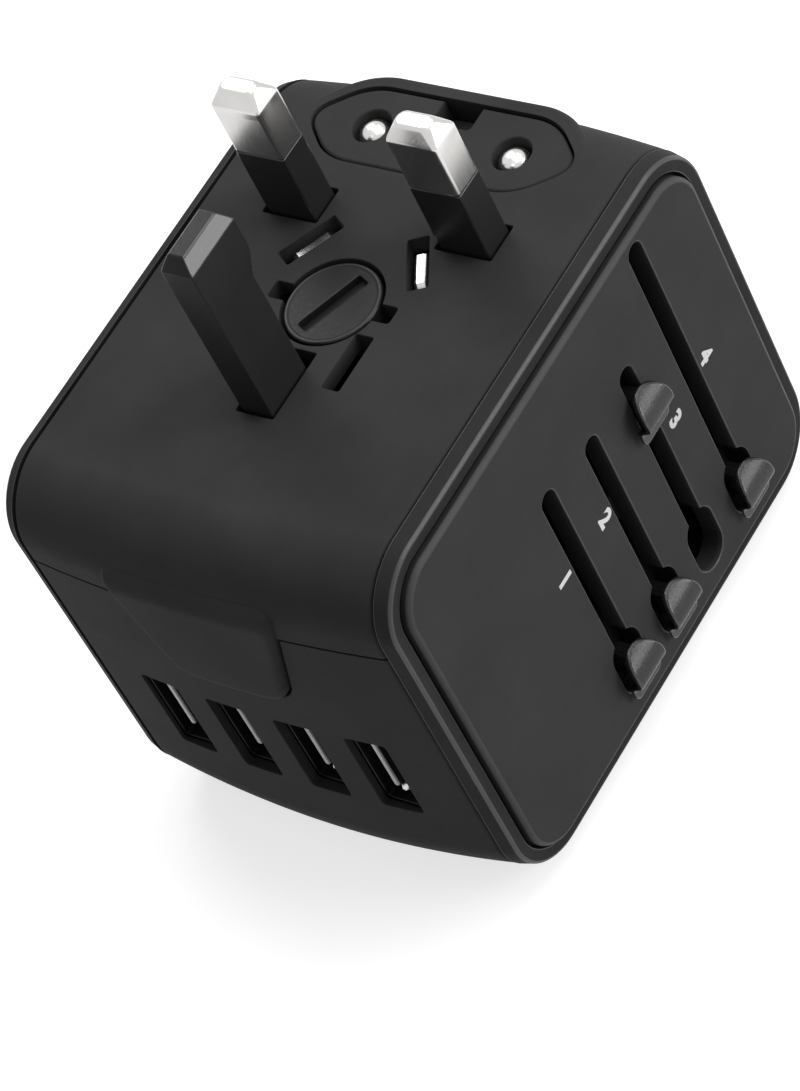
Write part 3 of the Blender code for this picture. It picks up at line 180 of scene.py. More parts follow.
# %% [markdown]
# ## Tools for surfaces
# Each new piece is worked out with numpy as a stack of rings: an outline is drawn once, moved in or
# out, laid at a height, and the rings are skinned. That one idea makes walls, rounded edges, pads and
# turned parts. The outline can be a rectangle with round corners or any polygon with bent corners.

# %% Outlines
def soft_box(low, high, radius, steps=8):
    """Rectangle with round corners: each corner's centre plus the radius times cosine and sine.

    Low, high and radius may be stacks, and then a stack of outlines comes back.
    """
    low, high = np.asarray(low, float), np.asarray(high, float)
    radius = np.asarray(radius, float)[..., None]
    turn = np.arange(4)[:, None] * np.pi / 2 + np.linspace(0.0, np.pi / 2, steps + 1)
    wave = np.stack([np.cos(turn.ravel()), np.sin(turn.ravel())], 1)
    side = np.repeat(np.array([(1, 1), (0, 1), (0, 0), (1, 0)], bool), steps + 1, axis=0)
    centre = np.where(side, (high - radius)[..., None, :], (low + radius)[..., None, :])
    return centre + radius[..., None] * wave


def bent_polygon(corners, radius, steps=6):
    """Polygon with each corner swapped for the quadratic bend (1-t)^2 A + 2t(1-t) C + t^2 B."""
    corners = np.asarray(corners, float)
    before, after = np.roll(corners, 1, 0) - corners, np.roll(corners, -1, 0) - corners
    first = corners + radius * before / np.linalg.norm(before, axis=1, keepdims=True)
    last = corners + radius * after / np.linalg.norm(after, axis=1, keepdims=True)
    t = np.linspace(0.0, 1.0, steps + 1)[None, :, None]
    bend = (1 - t) ** 2 * first[:, None] + 2 * t * (1 - t) * corners[:, None] + t**2 * last[:, None]
    return bend.reshape(-1, 2)


def single(outline):
    """The outline without points that repeat the one before."""
    gap = np.linalg.norm(outline - np.roll(outline, 1, 0), axis=1)
    return outline[gap > 1e-8]


def spread(outline, longest):
    """The outline with long sides split evenly, so that it can follow a curved face."""
    outline = single(outline)
    after = np.roll(outline, -1, 0)
    parts = np.ceil(np.linalg.norm(after - outline, axis=1) / longest).astype(int)
    start = np.repeat(np.arange(len(outline)), parts)
    step = np.arange(len(start)) - np.repeat(np.cumsum(parts) - parts, parts)
    share = (step / parts[start])[:, None]
    return outline[start] * (1 - share) + after[start] * share


def grown(outline, margins):
    """A stack of outlines moved outwards: each point goes along the mitre of its two sides."""
    side = np.roll(outline, -1, 0) - outline
    side = side / np.linalg.norm(side, axis=1, keepdims=True)
    normal = np.stack([side[:, 1], -side[:, 0]], 1)
    last = np.roll(normal, 1, 0)
    mitre = (normal + last) / (1.0 + (normal * last).sum(1))[:, None]
    return outline + np.asarray(margins, float)[..., None, None] * mitre


def quarter(radius, steps=5):
    """Inset and drop over a rounded edge: radius times one less cosine, and one less sine."""
    turn = np.linspace(0.0, np.pi / 2, steps + 1)
    return radius * (1 - np.cos(turn)), radius * (1 - np.sin(turn))


def laid(flat, heights, axis):
    """Flat rings put on planes across an axis: 0 takes (y, z), 1 takes (x, z) and 2 takes (x, y)."""
    heights = np.broadcast_to(np.asarray(heights, float)[..., None], flat.shape[:-1])
    return np.insert(flat, axis, heights, axis=-1)


print("a test outline has", len(single(soft_box((0, 0), (2, 1), 0.5))), "points")

# %% Skins and cuts
def solid_from(name, points, faces):
    """A mesh object from points and faces, with every face turned outwards."""
    mesh = bpy.data.meshes.new(name)
    mesh.from_pydata(points.reshape(-1, 3), [], faces)
    work = bmesh.new()
    work.from_mesh(mesh)
    bmesh.ops.recalc_face_normals(work, faces=work.faces)
    work.to_mesh(mesh)
    work.free()
    return linked(name, mesh)


def between_rings(low, high):
    """Quads between rings of point numbers and the rings after them."""
    return np.stack([low, np.roll(low, -1, -1), np.roll(high, -1, -1), high], -1).reshape(-1, 4).tolist()


def skinned(name, rings):
    """Closed solids through stacks of rings: quads between neighbours and a face on each end."""
    rings = rings.reshape(-1, *rings.shape[-3:])
    index = np.arange(rings[..., 0].size).reshape(rings.shape[:3])
    ends = index[:, 0, ::-1].tolist() + index[:, -1].tolist()
    return solid_from(name, rings, between_rings(index[:, :-1], index[:, 1:]) + ends)


def tube(name, rings):
    """A closed tube: the last ring is joined to the first, so that no end face is needed."""
    index = np.arange(rings[..., 0].size).reshape(rings.shape[:2])
    return solid_from(name, rings, between_rings(index, np.roll(index, -1, 0)))


def worked(solid, operation, *others):
    """The solid after exact Booleans with the others, which are used up."""
    for other in others:
        change = solid.modifiers.new(operation, "BOOLEAN")
        change.operation = operation
        change.solver = "EXACT"
        change.object = other
    graph = bpy.context.evaluated_depsgraph_get()
    old, solid.data = solid.data, bpy.data.meshes.new_from_object(solid.evaluated_get(graph))
    solid.modifiers.clear()
    solid.data.name = solid.name
    bpy.data.meshes.remove(old)
    for other in others:
        bpy.data.meshes.remove(other.data)
    return solid


def block(low, high, name="block"):
    """A plain box cutter between two corners."""
    low, high = np.asarray(low, float), np.asarray(high, float)
    flat = np.array([(0, 0), (1, 0), (1, 1), (0, 1)], float) * (high - low)[:2] + low[:2]
    return skinned(name, laid(np.stack([flat, flat]), [low[2], high[2]], 2))


def mouth_rings(outline, depth, lip, above=0.004, steps=4):
    """Outlines and heights of a hole with a rounded mouth, measured from the face that it opens in.

    Below the lip the outline is straight. Over the lip it grows by one less cosine while it climbs by
    the sine, up to 75 degrees, and then it runs on a little so that it crosses the face cleanly.
    """
    turn = np.linspace(0.0, math.radians(75.0), steps + 1)
    margin = np.concatenate([[0.0], lip * (1 - np.cos(turn)), [0.99 * lip, 0.99 * lip]])
    height = np.concatenate([[-depth], lip * (np.sin(turn) - 1), [0.033 * lip, above]])
    return grown(single(outline), margin), height


def mouth(outline, face, depth, lip, axis):
    """A cutter for a hole with a rounded mouth in a flat face across an axis."""
    flat, height = mouth_rings(outline, depth, lip)
    return skinned("mouth", laid(flat, face + height, axis))


def turned_flat(outline, angle, centre):
    """A flat outline turned by an angle about the origin and moved to a centre."""
    wave = np.array([(math.cos(angle), math.sin(angle)), (-math.sin(angle), math.cos(angle))])
    return outline @ wave + np.asarray(centre, float)


print("skins, Booleans and hole cutters are ready")

# %% [markdown]
# ## Finishes
# Nearly everything here is moulded in black plastic from a tool with a fine spark-eroded texture, so it
# looks charcoal and scatters light. That grain is a few tenths of a millimetre across. An image could
# hold it, but noise in object coordinates has no seams and no stretching, so each finish is noise: a
# fine layer for the bump, a slow layer for gloss and colour, and sharply bent edges that are shinier
# from polish and paler as a painted highlight.

# %% Moulded plastic
MM = 0.001


def noise(nodes, links, where, size, detail=2.0, stretch=None):
    """Noise whose features are about one size across, read in object coordinates."""
    cloud = nodes.new("ShaderNodeTexNoise")
    cloud.inputs["Scale"].default_value = 1.0 / size
    cloud.inputs["Detail"].default_value = detail
    source = where.outputs["Object"]
    if stretch:
        mapping = nodes.new("ShaderNodeMapping")
        mapping.inputs["Scale"].default_value = stretch
        links.new(source, mapping.inputs["Vector"])
        source = mapping.outputs["Vector"]
    links.new(source, cloud.inputs["Vector"])
    return cloud.outputs["Fac"]


def between(nodes, links, value, low, high, start=0.3, end=0.7):
    """A noise value mapped in a straight line from start..end to low..high."""
    span = nodes.new("ShaderNodeMapRange")
    span.inputs["From Min"].default_value = start
    span.inputs["From Max"].default_value = end
    span.inputs["To Min"].default_value = low
    span.inputs["To Max"].default_value = high
    links.new(value, span.inputs["Value"])
    return span.outputs["Result"]


def two_tones(nodes, links, value, dark, pale):
    """A colour that goes from dark to pale as the value goes from nought to one."""
    ramp = nodes.new("ShaderNodeValToRGB")
    ramp.color_ramp.elements[0].color = (*dark, 1.0)
    ramp.color_ramp.elements[1].color = (*pale, 1.0)
    links.new(value, ramp.inputs["Fac"])
    return ramp.outputs["Color"]


def bumped(nodes, links, shader, source, strength, distance):
    """Small heights read from a noise value, as bump on the shader."""
    bump = nodes.new("ShaderNodeBump")
    bump.inputs["Strength"].default_value = strength
    bump.inputs["Distance"].default_value = distance
    links.new(source, bump.inputs["Height"])
    links.new(bump.outputs["Normal"], shader.inputs["Normal"])


def moulded(name, tone, gloss, grain=0.16 * MM, height=0.012 * MM, shine=0.25, polish_and_highlight=0.0, panel=None):
    """Moulded plastic: fine grain in the bump, slow change of gloss and tone, polished and highlighted
    edges.

    Tone is the mean grey, gloss the mean roughness and shine the strength of the mirrored light. Sharply
    bent edges are shinier from polish and paler as a painted highlight, by the polish_and_highlight
    attribute of the piece. Where a panel height is given, the plastic closer to the middle of the adapter
    than that height is darker as painted shade, on the band, the rim and the groove.
    """
    finish, nodes, links, shader = new_finish(name)
    where = nodes.new("ShaderNodeTexCoord")
    slow = noise(nodes, links, where, 9.0 * MM, 3.0)
    fine = noise(nodes, links, where, grain, 2.0)
    value = between(nodes, links, slow, 0.0, 0.3 if panel else 0.6)
    roughness = between(nodes, links, fine, gloss - 0.06, gloss + 0.08)
    # Painted highlight: sharply bent edges get a paler colour. Their higher shine and lower roughness are
    # polish.
    if polish_and_highlight:
        attribute = nodes.new("ShaderNodeAttribute")
        attribute.attribute_name = "polish_and_highlight"
        edge = attribute.outputs["Fac"]
        value = added(nodes, links, value, between(nodes, links, edge, 0.0, polish_and_highlight, 0.0, 1.0))
        shiny = between(nodes, links, edge, shine, shine + 1.1 * polish_and_highlight, 0.0, 1.0)
        links.new(shiny, shader.inputs["Specular IOR Level"])
        roughness = added(nodes, links, roughness, between(nodes, links, edge, 0.0, -0.7 * polish_and_highlight, 0.0, 1.0))
    else:
        shader.inputs["Specular IOR Level"].default_value = shine
    # Painted shade: plastic closer to the middle of the adapter than the panel height is darker, on band,
    # rim and groove.
    if panel:
        apart = nodes.new("ShaderNodeSeparateXYZ")
        links.new(where.outputs["Object"], apart.inputs["Vector"])
        reach = nodes.new("ShaderNodeMath")
        reach.operation = "ABSOLUTE"
        links.new(apart.outputs["X"], reach.inputs[0])
        value = added(nodes, links, value, between(nodes, links, reach.outputs[0], 0.0, 0.55, *panel))
    # With a panel height, the dark end of the tone is lower still. This is also part of the painted shade.
    dark, pale = np.asarray(tone) * (0.60 if panel else 0.88), np.asarray(tone) * 1.28
    links.new(two_tones(nodes, links, value, dark, pale), shader.inputs["Base Color"])
    links.new(roughness, shader.inputs["Roughness"])
    bumped(nodes, links, shader, fine, 0.6, height)
    return finish


BLACK_GRAIN = moulded("black_grained_plastic", (0.034, 0.034, 0.035), 0.68, shine=0.06)
KNOB_SATIN = moulded("knob_satin_plastic", (0.011, 0.011, 0.012), 0.30, 0.20 * MM, 0.040 * MM, 0.36, 0.3)
SLEEVE_SATIN = moulded("sleeve_satin_plastic", (0.021, 0.021, 0.022), 0.36, 0.25 * MM, 0.006 * MM, 0.10, 0.3)
CAP_SATIN = moulded("cap_satin_plastic", (0.013, 0.013, 0.014), 0.45, 0.20 * MM, 0.008 * MM, 0.15, 0.12)
GUIDE_GREY = moulded("guide_grey_plastic", (0.16, 0.16, 0.165), 0.48, 0.20 * MM, 0.010 * MM)
INNER_BLACK = moulded("inner_black_plastic", (0.014, 0.014, 0.015), 0.60, 0.18 * MM, 0.012 * MM, 0.10)
TONGUE_WHITE = moulded("tongue_white_plastic", (0.72, 0.72, 0.70), 0.40, 0.20 * MM, 0.004 * MM)
print("seven moulded finishes")

# %% [markdown]
# Metal needs a different treatment: its colour lives in the mirrored room. The pins are nickel-plated
# brass, drawn and then tumbled bright, so only very faint streaks run along them and the gloss wanders a
# little. The streaks are the same noise, stretched along the length of the pin.

# %% Plated metal and the rest
def plated(name, colour, gloss, stretch=(1.0, 1.0, 0.06), streak=0.22 * MM):
    """Plated metal: stretched noise for drawn streaks in gloss and bump, slow noise for the tone."""
    finish, nodes, links, shader = new_finish(name)
    where = nodes.new("ShaderNodeTexCoord")
    lines = noise(nodes, links, where, streak, 3.0, stretch)
    slow = between(nodes, links, noise(nodes, links, where, 5.0 * MM), 0.0, 1.0)
    colour = np.asarray(colour)
    links.new(two_tones(nodes, links, slow, colour * 0.90, colour), shader.inputs["Base Color"])
    links.new(between(nodes, links, lines, gloss - 0.02, gloss + 0.04), shader.inputs["Roughness"])
    bumped(nodes, links, shader, lines, 0.10, 0.002 * MM)
    shader.inputs["Metallic"].default_value = 1.0
    return finish


NICKEL = plated("nickel_plate", (0.68, 0.67, 0.655), 0.22)
# Painted shade: the shells' steel is painted nearly black, as it sits in the shade of the ports.
SHELL_STEEL_PAINTED_SHADE = plated("shell_steel_painted_shade", (0.035, 0.035, 0.037), 0.45, (1.0, 0.08, 1.0))
SPRING_BRASS = plated("spring_brass", (0.72, 0.53, 0.26), 0.30)
CERAMIC = moulded("fuse_ceramic", (0.70, 0.66, 0.58), 0.40, 0.30 * MM, 0.006 * MM)
BOARD_GREEN = moulded("board_lacquer", (0.030, 0.105, 0.050), 0.32, 0.50 * MM, 0.010 * MM)
WINDING_TAPE = moulded("winding_tape", (0.42, 0.30, 0.06), 0.42, 0.60 * MM, 0.020 * MM)
CAN_SLEEVE = moulded("can_sleeve", (0.035, 0.045, 0.09), 0.30, 0.40 * MM, 0.006 * MM)
print("three metals and four finishes for the inside")

# %% [markdown]
# One helper puts the finish on a piece, keeps its real edges crisp while the rest is shaded smooth, ties
# it to the body that it moves with and hides the solids of the frame that it stands for. It also measures
# how sharply each face bends outwards, because there the finish gets polish and a paler painted highlight.

# %% Dressing a piece
BEND_START, BEND_FULL = 1.0 / (1.1 * MM), 1.0 / (0.4 * MM)
SHORTEST_EDGE = 0.02 * MM


def bend(mesh):
    """One over the radius of the sharpest outward bend of each face.

    Along an edge, that is how far the normals at its ends open, over its length. Each face keeps the
    largest value of its edges.
    """
    place, normal = np.empty((2, len(mesh.vertices) * 3))
    mesh.vertices.foreach_get("co", place)
    mesh.vertices.foreach_get("normal", normal)
    place, normal = place.reshape(-1, 3), normal.reshape(-1, 3)
    ends = np.empty(len(mesh.edges) * 2, int)
    mesh.edges.foreach_get("vertices", ends)
    near, far = ends.reshape(-1, 2).T
    step = place[far] - place[near]
    length = np.maximum((step**2).sum(1), SHORTEST_EDGE**2)
    opening = ((normal[far] - normal[near]) * step).sum(1) / length
    first = np.empty(len(mesh.polygons), int)
    mesh.polygons.foreach_get("loop_start", first)
    side = np.empty(len(mesh.loops), int)
    mesh.loops.foreach_get("edge_index", side)
    return np.maximum.reduceat(opening[side], first)


def dressed(piece, finish, body, slot, *solids, angle=32.0):
    """Finish, smooth shading with edges kept above an angle, body and the solids stood for; slot is not
    used.
    """
    mesh = piece.data
    mesh.materials.clear()
    mesh.materials.append(finish)
    mesh.shade_smooth()
    mesh.set_sharp_from_angle(angle=math.radians(angle))
    # Sharply bent faces get the attribute that gives polish and a painted highlight.
    polish_and_highlight = np.clip((bend(mesh) - BEND_START) / (BEND_FULL - BEND_START), 0.0, 1.0)
    mesh.attributes.new("polish_and_highlight", "FLOAT", "FACE").data.foreach_set("value", polish_and_highlight)
    even = piece.modifiers.new("even_shade", "WEIGHTED_NORMAL")
    even.keep_sharp = True
    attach(piece, body)
    if solids:
        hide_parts(*solids)
    print(piece.name, len(mesh.vertices), "points on", body)
    return piece


# %% [markdown]
# ## The body
# The real body is two mouldings that meet on a thin line round the block: a deep housing and a shallow
# rear cover with the pin openings. Its four long faces are not flat but gently crowned, so the block
# feels soft in the hand. A cube with a bevel would miss that, so one rounded outline is carried across
# the body and swells by a parabola on the way. The two halves are then parted and hollowed.

# %% Crowned core
HALF_X, HALF_Y = 22.85 * MM, 31.65 * MM
CROWN = 1.4 * MM
PLUG_Z = 52.1 * MM
CORNER = 7.8 * MM
WALL = 2.0 * MM
PARTING_Z = 42.2 * MM
SEAM = 0.3 * MM
END_EDGE = 0.4 * MM
FAR = 60.0 * MM


def swell(x):
    """How far the long faces bulge at a place across the body: a parabola, nought at both ends."""
    return CROWN * (1.0 - (x / HALF_X) ** 2)


def core(name):
    """Rounded rectangles carried across the body, grown by the swell and pulled in at the end edges."""
    inset, near = quarter(END_EDGE)
    middle = np.linspace(-HALF_X + END_EDGE, HALF_X - END_EDGE, 49)[1:-1]
    x = np.concatenate([near[::-1] - HALF_X, middle, HALF_X - near])
    pinch = np.concatenate([inset[::-1], 0.0 * middle, inset])
    bulge = swell(x)
    low = np.stack([-HALF_Y - bulge + pinch, CROWN - bulge + pinch], 1)
    high = np.stack([HALF_Y + bulge - pinch, PLUG_Z - pinch], 1)
    return skinned(name, laid(soft_box(low, high, CORNER - pinch, 14), x, 0))


def hollow():
    """The space inside both halves: one rounded outline carried right through."""
    inner_low, inner_high = (-HALF_Y + WALL, CROWN + WALL), (HALF_Y - WALL, PLUG_Z - WALL)
    outline = soft_box(inner_low, inner_high, CORNER - WALL, 10)
    return skinned("hollow", laid(np.stack([outline, outline]), [-HALF_X - MM, HALF_X + MM], 0))


print("the body swells by", round(float(swell(0.0)) / MM, 2), "mm in the middle")

# %% [markdown]
# The rear cover carries a tongue that reaches down over the USB side, a soft pad with rounded edges.
# It is a skin over a tapered outline: up a wall, over a quarter-round edge, then in towards the middle
# in smaller and smaller rings, each laid on the crowned face.

# %% Tongue on the rear cover
PLUG_X = -0.3 * MM
TONGUE_LOW, TONGUE_TOP = PLUG_Z - 21.1 * MM, PLUG_Z - 5.0 * MM
TONGUE_LOW_HALF, TONGUE_PART_HALF = 7.05 * MM, 10.15 * MM
TONGUE_CORNER = 2.8 * MM
TONGUE_PROUD, TONGUE_ROUND = 0.9 * MM, 0.8 * MM
TONGUE_TURN, TONGUE_FALL = 3.2 * MM, 1.6 * MM


def tongue_outline():
    """A trapezium with bent corners, narrow at its low end, in x and z."""
    slope = (TONGUE_PART_HALF - TONGUE_LOW_HALF) / (PARTING_Z - TONGUE_LOW)
    top_half = TONGUE_LOW_HALF + slope * (TONGUE_TOP - TONGUE_LOW)
    corners = [
        (PLUG_X - TONGUE_LOW_HALF, TONGUE_LOW),
        (PLUG_X + TONGUE_LOW_HALF, TONGUE_LOW),
        (PLUG_X + top_half, TONGUE_TOP),
        (PLUG_X - top_half, TONGUE_TOP),
    ]
    return spread(bent_polygon(corners, TONGUE_CORNER, 10), 0.6 * MM)


def inward(ring, shares):
    """A ring drawn towards its middle: middle plus share times the way out to the ring."""
    middle = (ring.min(0) + ring.max(0)) / 2
    return middle + np.asarray(shares)[:, None, None] * (ring - middle)


def tongue():
    """The pad: y is minus half the length, the swell and the rise, and it falls away near the top."""
    outline = tongue_outline()
    inset, drop = quarter(TONGUE_ROUND, 7)
    edge = grown(outline, -inset)
    shares = np.linspace(0.93, 0.03, 18)
    flat = np.concatenate([edge, inward(edge[-1], shares)])
    rise = np.concatenate([TONGUE_PROUD - drop, 0.0 * shares + TONGUE_PROUD])
    over = np.clip(flat[..., 1] - TONGUE_TOP + TONGUE_TURN, 0.0, None) / TONGUE_TURN
    y = TONGUE_FALL * over**2 - HALF_Y - swell(flat[..., 0]) - rise[:, None]
    front = np.stack([flat[..., 0], y, flat[..., 1]], -1)
    back = laid(outline[None], [-HALF_Y + 1.0 * MM], 1)
    return skinned("tongue", np.concatenate([back, front]))


print("the tongue's outline has", len(tongue_outline()), "points")

# %% [markdown]
# The plug face has an opening for every pin, each with a rounded mouth where the tool had a small
# radius. A knife-sharp Boolean edge would never catch the light, so every cutter flares at its mouth.

# %% Openings in the plug face
RUN = 0.4 * MM
LIP = 0.11 * MM
EURO_GAP = 0.25 * MM
PIN_ROW_Y = 12.35 * MM
UK_PITCH = 22.23 * MM
EARTH_Y = PIN_ROW_Y - UK_PITCH
US_PITCH, US_Y = 12.7 * MM, -5.7 * MM
AUS_PITCH, AUS_Y, AUS_SLANT = 13.74 * MM, 7.8 * MM, math.radians(30.0)
FUSE_X, FUSE_Y = -0.05 * MM, 0.95 * MM
EURO_Y = 23.65 * MM


def slot_outline(half_x, half_y, centre, angle=0.0, radius=0.25 * MM):
    """A rectangle with round corners about a centre, turned by an angle."""
    return turned_flat(soft_box((-half_x, -half_y), (half_x, half_y), radius, 5), angle, centre)


def disc_outline(radius, centre, steps=64):
    """A circle: the radius times cosine and sine of even angles."""
    angle = np.linspace(0.0, 2 * np.pi, steps + 1)[:-1]
    return np.stack([np.cos(angle), np.sin(angle)], 1) * radius + np.asarray(centre)


def euro_outline(margin):
    """The hexagon of a flat two-pin plug: straight long sides and a corner at each end."""
    flat, half, reach = 11.9 * MM, 5.05 * MM, 17.4 * MM
    corners = [(flat, -half), (reach, 0), (flat, half), (-flat, half), (-reach, 0), (-flat, -half)]
    hexagon = bent_polygon(np.array(corners) + (PLUG_X, EURO_Y), 2.8 * MM, 10)
    return grown(hexagon, [margin])[0]


def plug_openings():
    """Every opening of the plug face with its running gap."""
    pins = [slot_outline(3.175 * MM + RUN, 2.0 * MM + RUN, (PLUG_X + side * UK_PITCH / 2, PIN_ROW_Y))
            for side in (-1, 1)]
    earth = slot_outline(2.0 * MM + RUN, 4.0 * MM + RUN, (PLUG_X, EARTH_Y))
    flat = [slot_outline(0.75 * MM + RUN, 3.175 * MM + RUN, (PLUG_X + side * US_PITCH / 2, US_Y))
            for side in (-1, 1)]
    slanted = [slot_outline(0.8 * MM + RUN, 3.15 * MM + RUN, (PLUG_X + side * AUS_PITCH / 2, AUS_Y),
                            side * AUS_SLANT) for side in (-1, 1)]
    fuse = [disc_outline(5.8 * MM, (FUSE_X, FUSE_Y)),
            slot_outline(7.8 * MM, 1.1 * MM, (FUSE_X, FUSE_Y), 0.0, 0.4 * MM)]
    return [*pins, earth, *flat, *slanted, *fuse, euro_outline(EURO_GAP)]


print(len(plug_openings()), "openings in the plug face")

# %% Rear cover
def surround():
    """The raised collar of the two-pin plug: its outline with a rounded top edge, just under the face."""
    inset, drop = quarter(0.8 * MM)
    flat = grown(single(euro_outline(2.0 * MM)), np.concatenate([[0.0], -inset]))
    top = PLUG_Z - 0.02 * MM
    return skinned("surround", laid(flat, np.concatenate([[PARTING_Z - MM], top - drop]), 2))


def rear_cover():
    """The core and its collar above the parting line, with the tongue, the hollow and the openings."""
    cover = worked(core("rear_shell"), "UNION", surround())
    worked(cover, "DIFFERENCE", block((-FAR, -FAR, -FAR), (FAR, FAR, PARTING_Z + SEAM / 2)))
    worked(cover, "UNION", tongue())
    worked(cover, "DIFFERENCE", hollow())
    return worked(cover, "DIFFERENCE", *[mouth(o, PLUG_Z, 6.0 * MM, LIP, 2) for o in plug_openings()])


dressed(rear_cover(), BLACK_GRAIN, "body", "black_plastic", "rear_cover")

# %% [markdown]
# The main housing is the rest of the core. It is open towards the outlet for the socket, has a shallow
# pocket for the tongue, and four mouths for the USB ports. The USB side is crowned, so the mouths'
# rounded lips follow it: the cutter is worked out flat and then laid on the curve.

# %% Main housing
USB_PITCH, USB_Z = 9.0 * MM, 19.6 * MM
USB_HALF_X, USB_HALF_Z = 2.55 * MM, 5.95 * MM
USB_FRONT = -31.58 * MM
USB_PLACES = PLUG_X + USB_PITCH * np.array([-1.5, -0.5, 0.5, 1.5])


def laid_on_usb_side(flat, height):
    """Rings in x and z laid on the crowned USB side: y is minus half the length, swell and height."""
    y = -HALF_Y - swell(flat[..., 0]) - np.asarray(height)[:, None]
    return np.stack([flat[..., 0], y, flat[..., 1]], -1)


def usb_mouth(x):
    """A rounded rectangular mouth on the crowned side, a little over a millimetre deep."""
    low, high = (x - USB_HALF_X, USB_Z - USB_HALF_Z), (x + USB_HALF_X, USB_Z + USB_HALF_Z)
    outline = spread(soft_box(low, high, 0.5 * MM, 4), 0.8 * MM)
    return skinned("usb_mouth", laid_on_usb_side(*mouth_rings(outline, 2.2 * MM, LIP)))


def usb_seat(x):
    """The box behind a mouth that holds the port's shell."""
    side, tall = USB_HALF_X + 0.7 * MM, USB_HALF_Z + 0.7 * MM
    return block((x - side, USB_FRONT - 0.3 * MM, USB_Z - tall), (x + side, -26.0 * MM, USB_Z + tall))


def tongue_pocket():
    """The tongue's outline with a thin gap round it, sunk into the USB side."""
    outline = grown(single(tongue_outline()), [0.3 * MM])[0]
    return skinned("tongue_pocket", laid_on_usb_side(*mouth_rings(outline, 2.3 * MM, 0.15 * MM)))


def main_housing():
    """The core below the parting line, less the hollow, the pocket, the ports and the socket window."""
    housing = worked(core("main_shell"), "DIFFERENCE",
                     block((-FAR, -FAR, PARTING_Z - SEAM / 2), (FAR, FAR, FAR)))
    worked(housing, "DIFFERENCE", hollow(), tongue_pocket())
    worked(housing, "DIFFERENCE", *[usb_mouth(x) for x in USB_PLACES], *[usb_seat(x) for x in USB_PLACES])
    window = soft_box((-18.3 * MM, -23.3 * MM), (18.3 * MM, 23.3 * MM), 5.3 * MM, 10)
    opening = skinned("window", laid(np.stack([window, window]), [-MM, 9 * MM], 2))
    return worked(housing, "DIFFERENCE", opening)


dressed(main_housing(), BLACK_GRAIN, "body", "black_plastic", "main_housing")

# %% [markdown]
# ## Side covers
# A shallow lid closes each end of the body. Seen in section it has a slightly drafted band, a crisp edge,
# a flat rim, a deep narrow groove and then the raised panel with its own rounded edge. One profile carried
# round the body's outline makes the whole lid. The profile is drawn with straight lines and arcs first,
# then blurred a little along its length, because no tool leaves a perfectly sharp inner corner.

# %% Lid profile
COVER_X = HALF_X + SEAM
SLIDER_BAND, BLANK_BAND = 1.4 * MM, 0.95 * MM
RIM_ROUND, PANEL_ROUND, PANEL_RISE = 0.4 * MM, 0.6 * MM, 0.8 * MM
SLIDER_RIM_X = COVER_X + SLIDER_BAND + RIM_ROUND
BLANK_RIM_X = COVER_X + BLANK_BAND + RIM_ROUND
PANEL_X = SLIDER_RIM_X + PANEL_RISE


def arc_line(centre, radius, start, end, steps=10):
    """Points on an arc: the centre plus the radius times cosine and sine, in degrees."""
    angle = np.radians(np.linspace(start, end, steps + 1))
    return np.asarray(centre) + radius * np.stack([np.cos(angle), np.sin(angle)], 1)


def blurred(line, spacing, blur):
    """A line walked in even steps and then averaged with its neighbours; both ends stay in place."""
    line = np.asarray(line, float)
    walk = np.concatenate([[0.0], np.cumsum(np.linalg.norm(np.diff(line, axis=0), axis=1))])
    even = np.linspace(0.0, walk[-1], int(walk[-1] / spacing) + 1)
    points = np.stack([np.interp(even, walk, line[:, 0]), np.interp(even, walk, line[:, 1])], 1)
    reach = max(1, int(2 * blur / spacing))
    weight = np.exp(-0.5 * (np.arange(-reach, reach + 1) * spacing / blur) ** 2)
    weight /= weight.sum()
    before = 2 * points[0] - points[reach:0:-1]
    after = 2 * points[-1] - points[-2:-reach - 2:-1]
    padded = np.concatenate([before, points, after])
    return np.stack([np.convolve(padded[:, i], weight, "valid") for i in (0, 1)], 1)


def lid_profile(band):
    """Pairs of inset and height: band, crisp edge, rim, groove and the panel's own rounded edge."""
    rim = band + RIM_ROUND
    edge = arc_line((0.75 * MM, band), RIM_ROUND, 180, 90)
    groove = [(2.0 * MM, rim - 0.1 * MM), (2.1 * MM, 0.6 * MM), (2.4 * MM, 0.6 * MM)]
    crest = arc_line((3.0 * MM, rim + PANEL_RISE - PANEL_ROUND), PANEL_ROUND, 180, 90)
    flat = [(3.6 * MM, rim + PANEL_RISE)]
    return blurred(np.concatenate([[(0.0, 0.0)], edge, groove, crest, flat]), 0.05 * MM, 0.05 * MM)


def lid(name, side, band):
    """The profile carried round the body's outline, on the +X or the -X side."""
    inset, height = lid_profile(band).T
    low = np.stack([-HALF_Y + inset, CROWN + inset], 1)
    high = np.stack([HALF_Y - inset, PLUG_Z - inset], 1)
    outline = soft_box(low, high, CORNER - inset, 14)
    return skinned(name, laid(outline, side * (COVER_X + height), 0))


def lid_grain_and_painted_shade(name, rim_x):
    """The lid's plastic: grained all over, darker as painted shade on band, rim and groove, paler on the
    panel.
    """
    tone, panel = (0.034, 0.034, 0.035), (rim_x + 0.1 * MM, rim_x + 0.3 * MM)
    return moulded(name, tone, 0.66, 0.20 * MM, 0.016 * MM, 0.07, 0.35, panel)


print("the lid's profile has", len(lid_profile(SLIDER_BAND)), "points")

# %% [markdown]
# The slider lid has four guide slots. Each opens into a keyhole at the outlet end, where the knob's wide
# foot goes in when the adapter is put together.

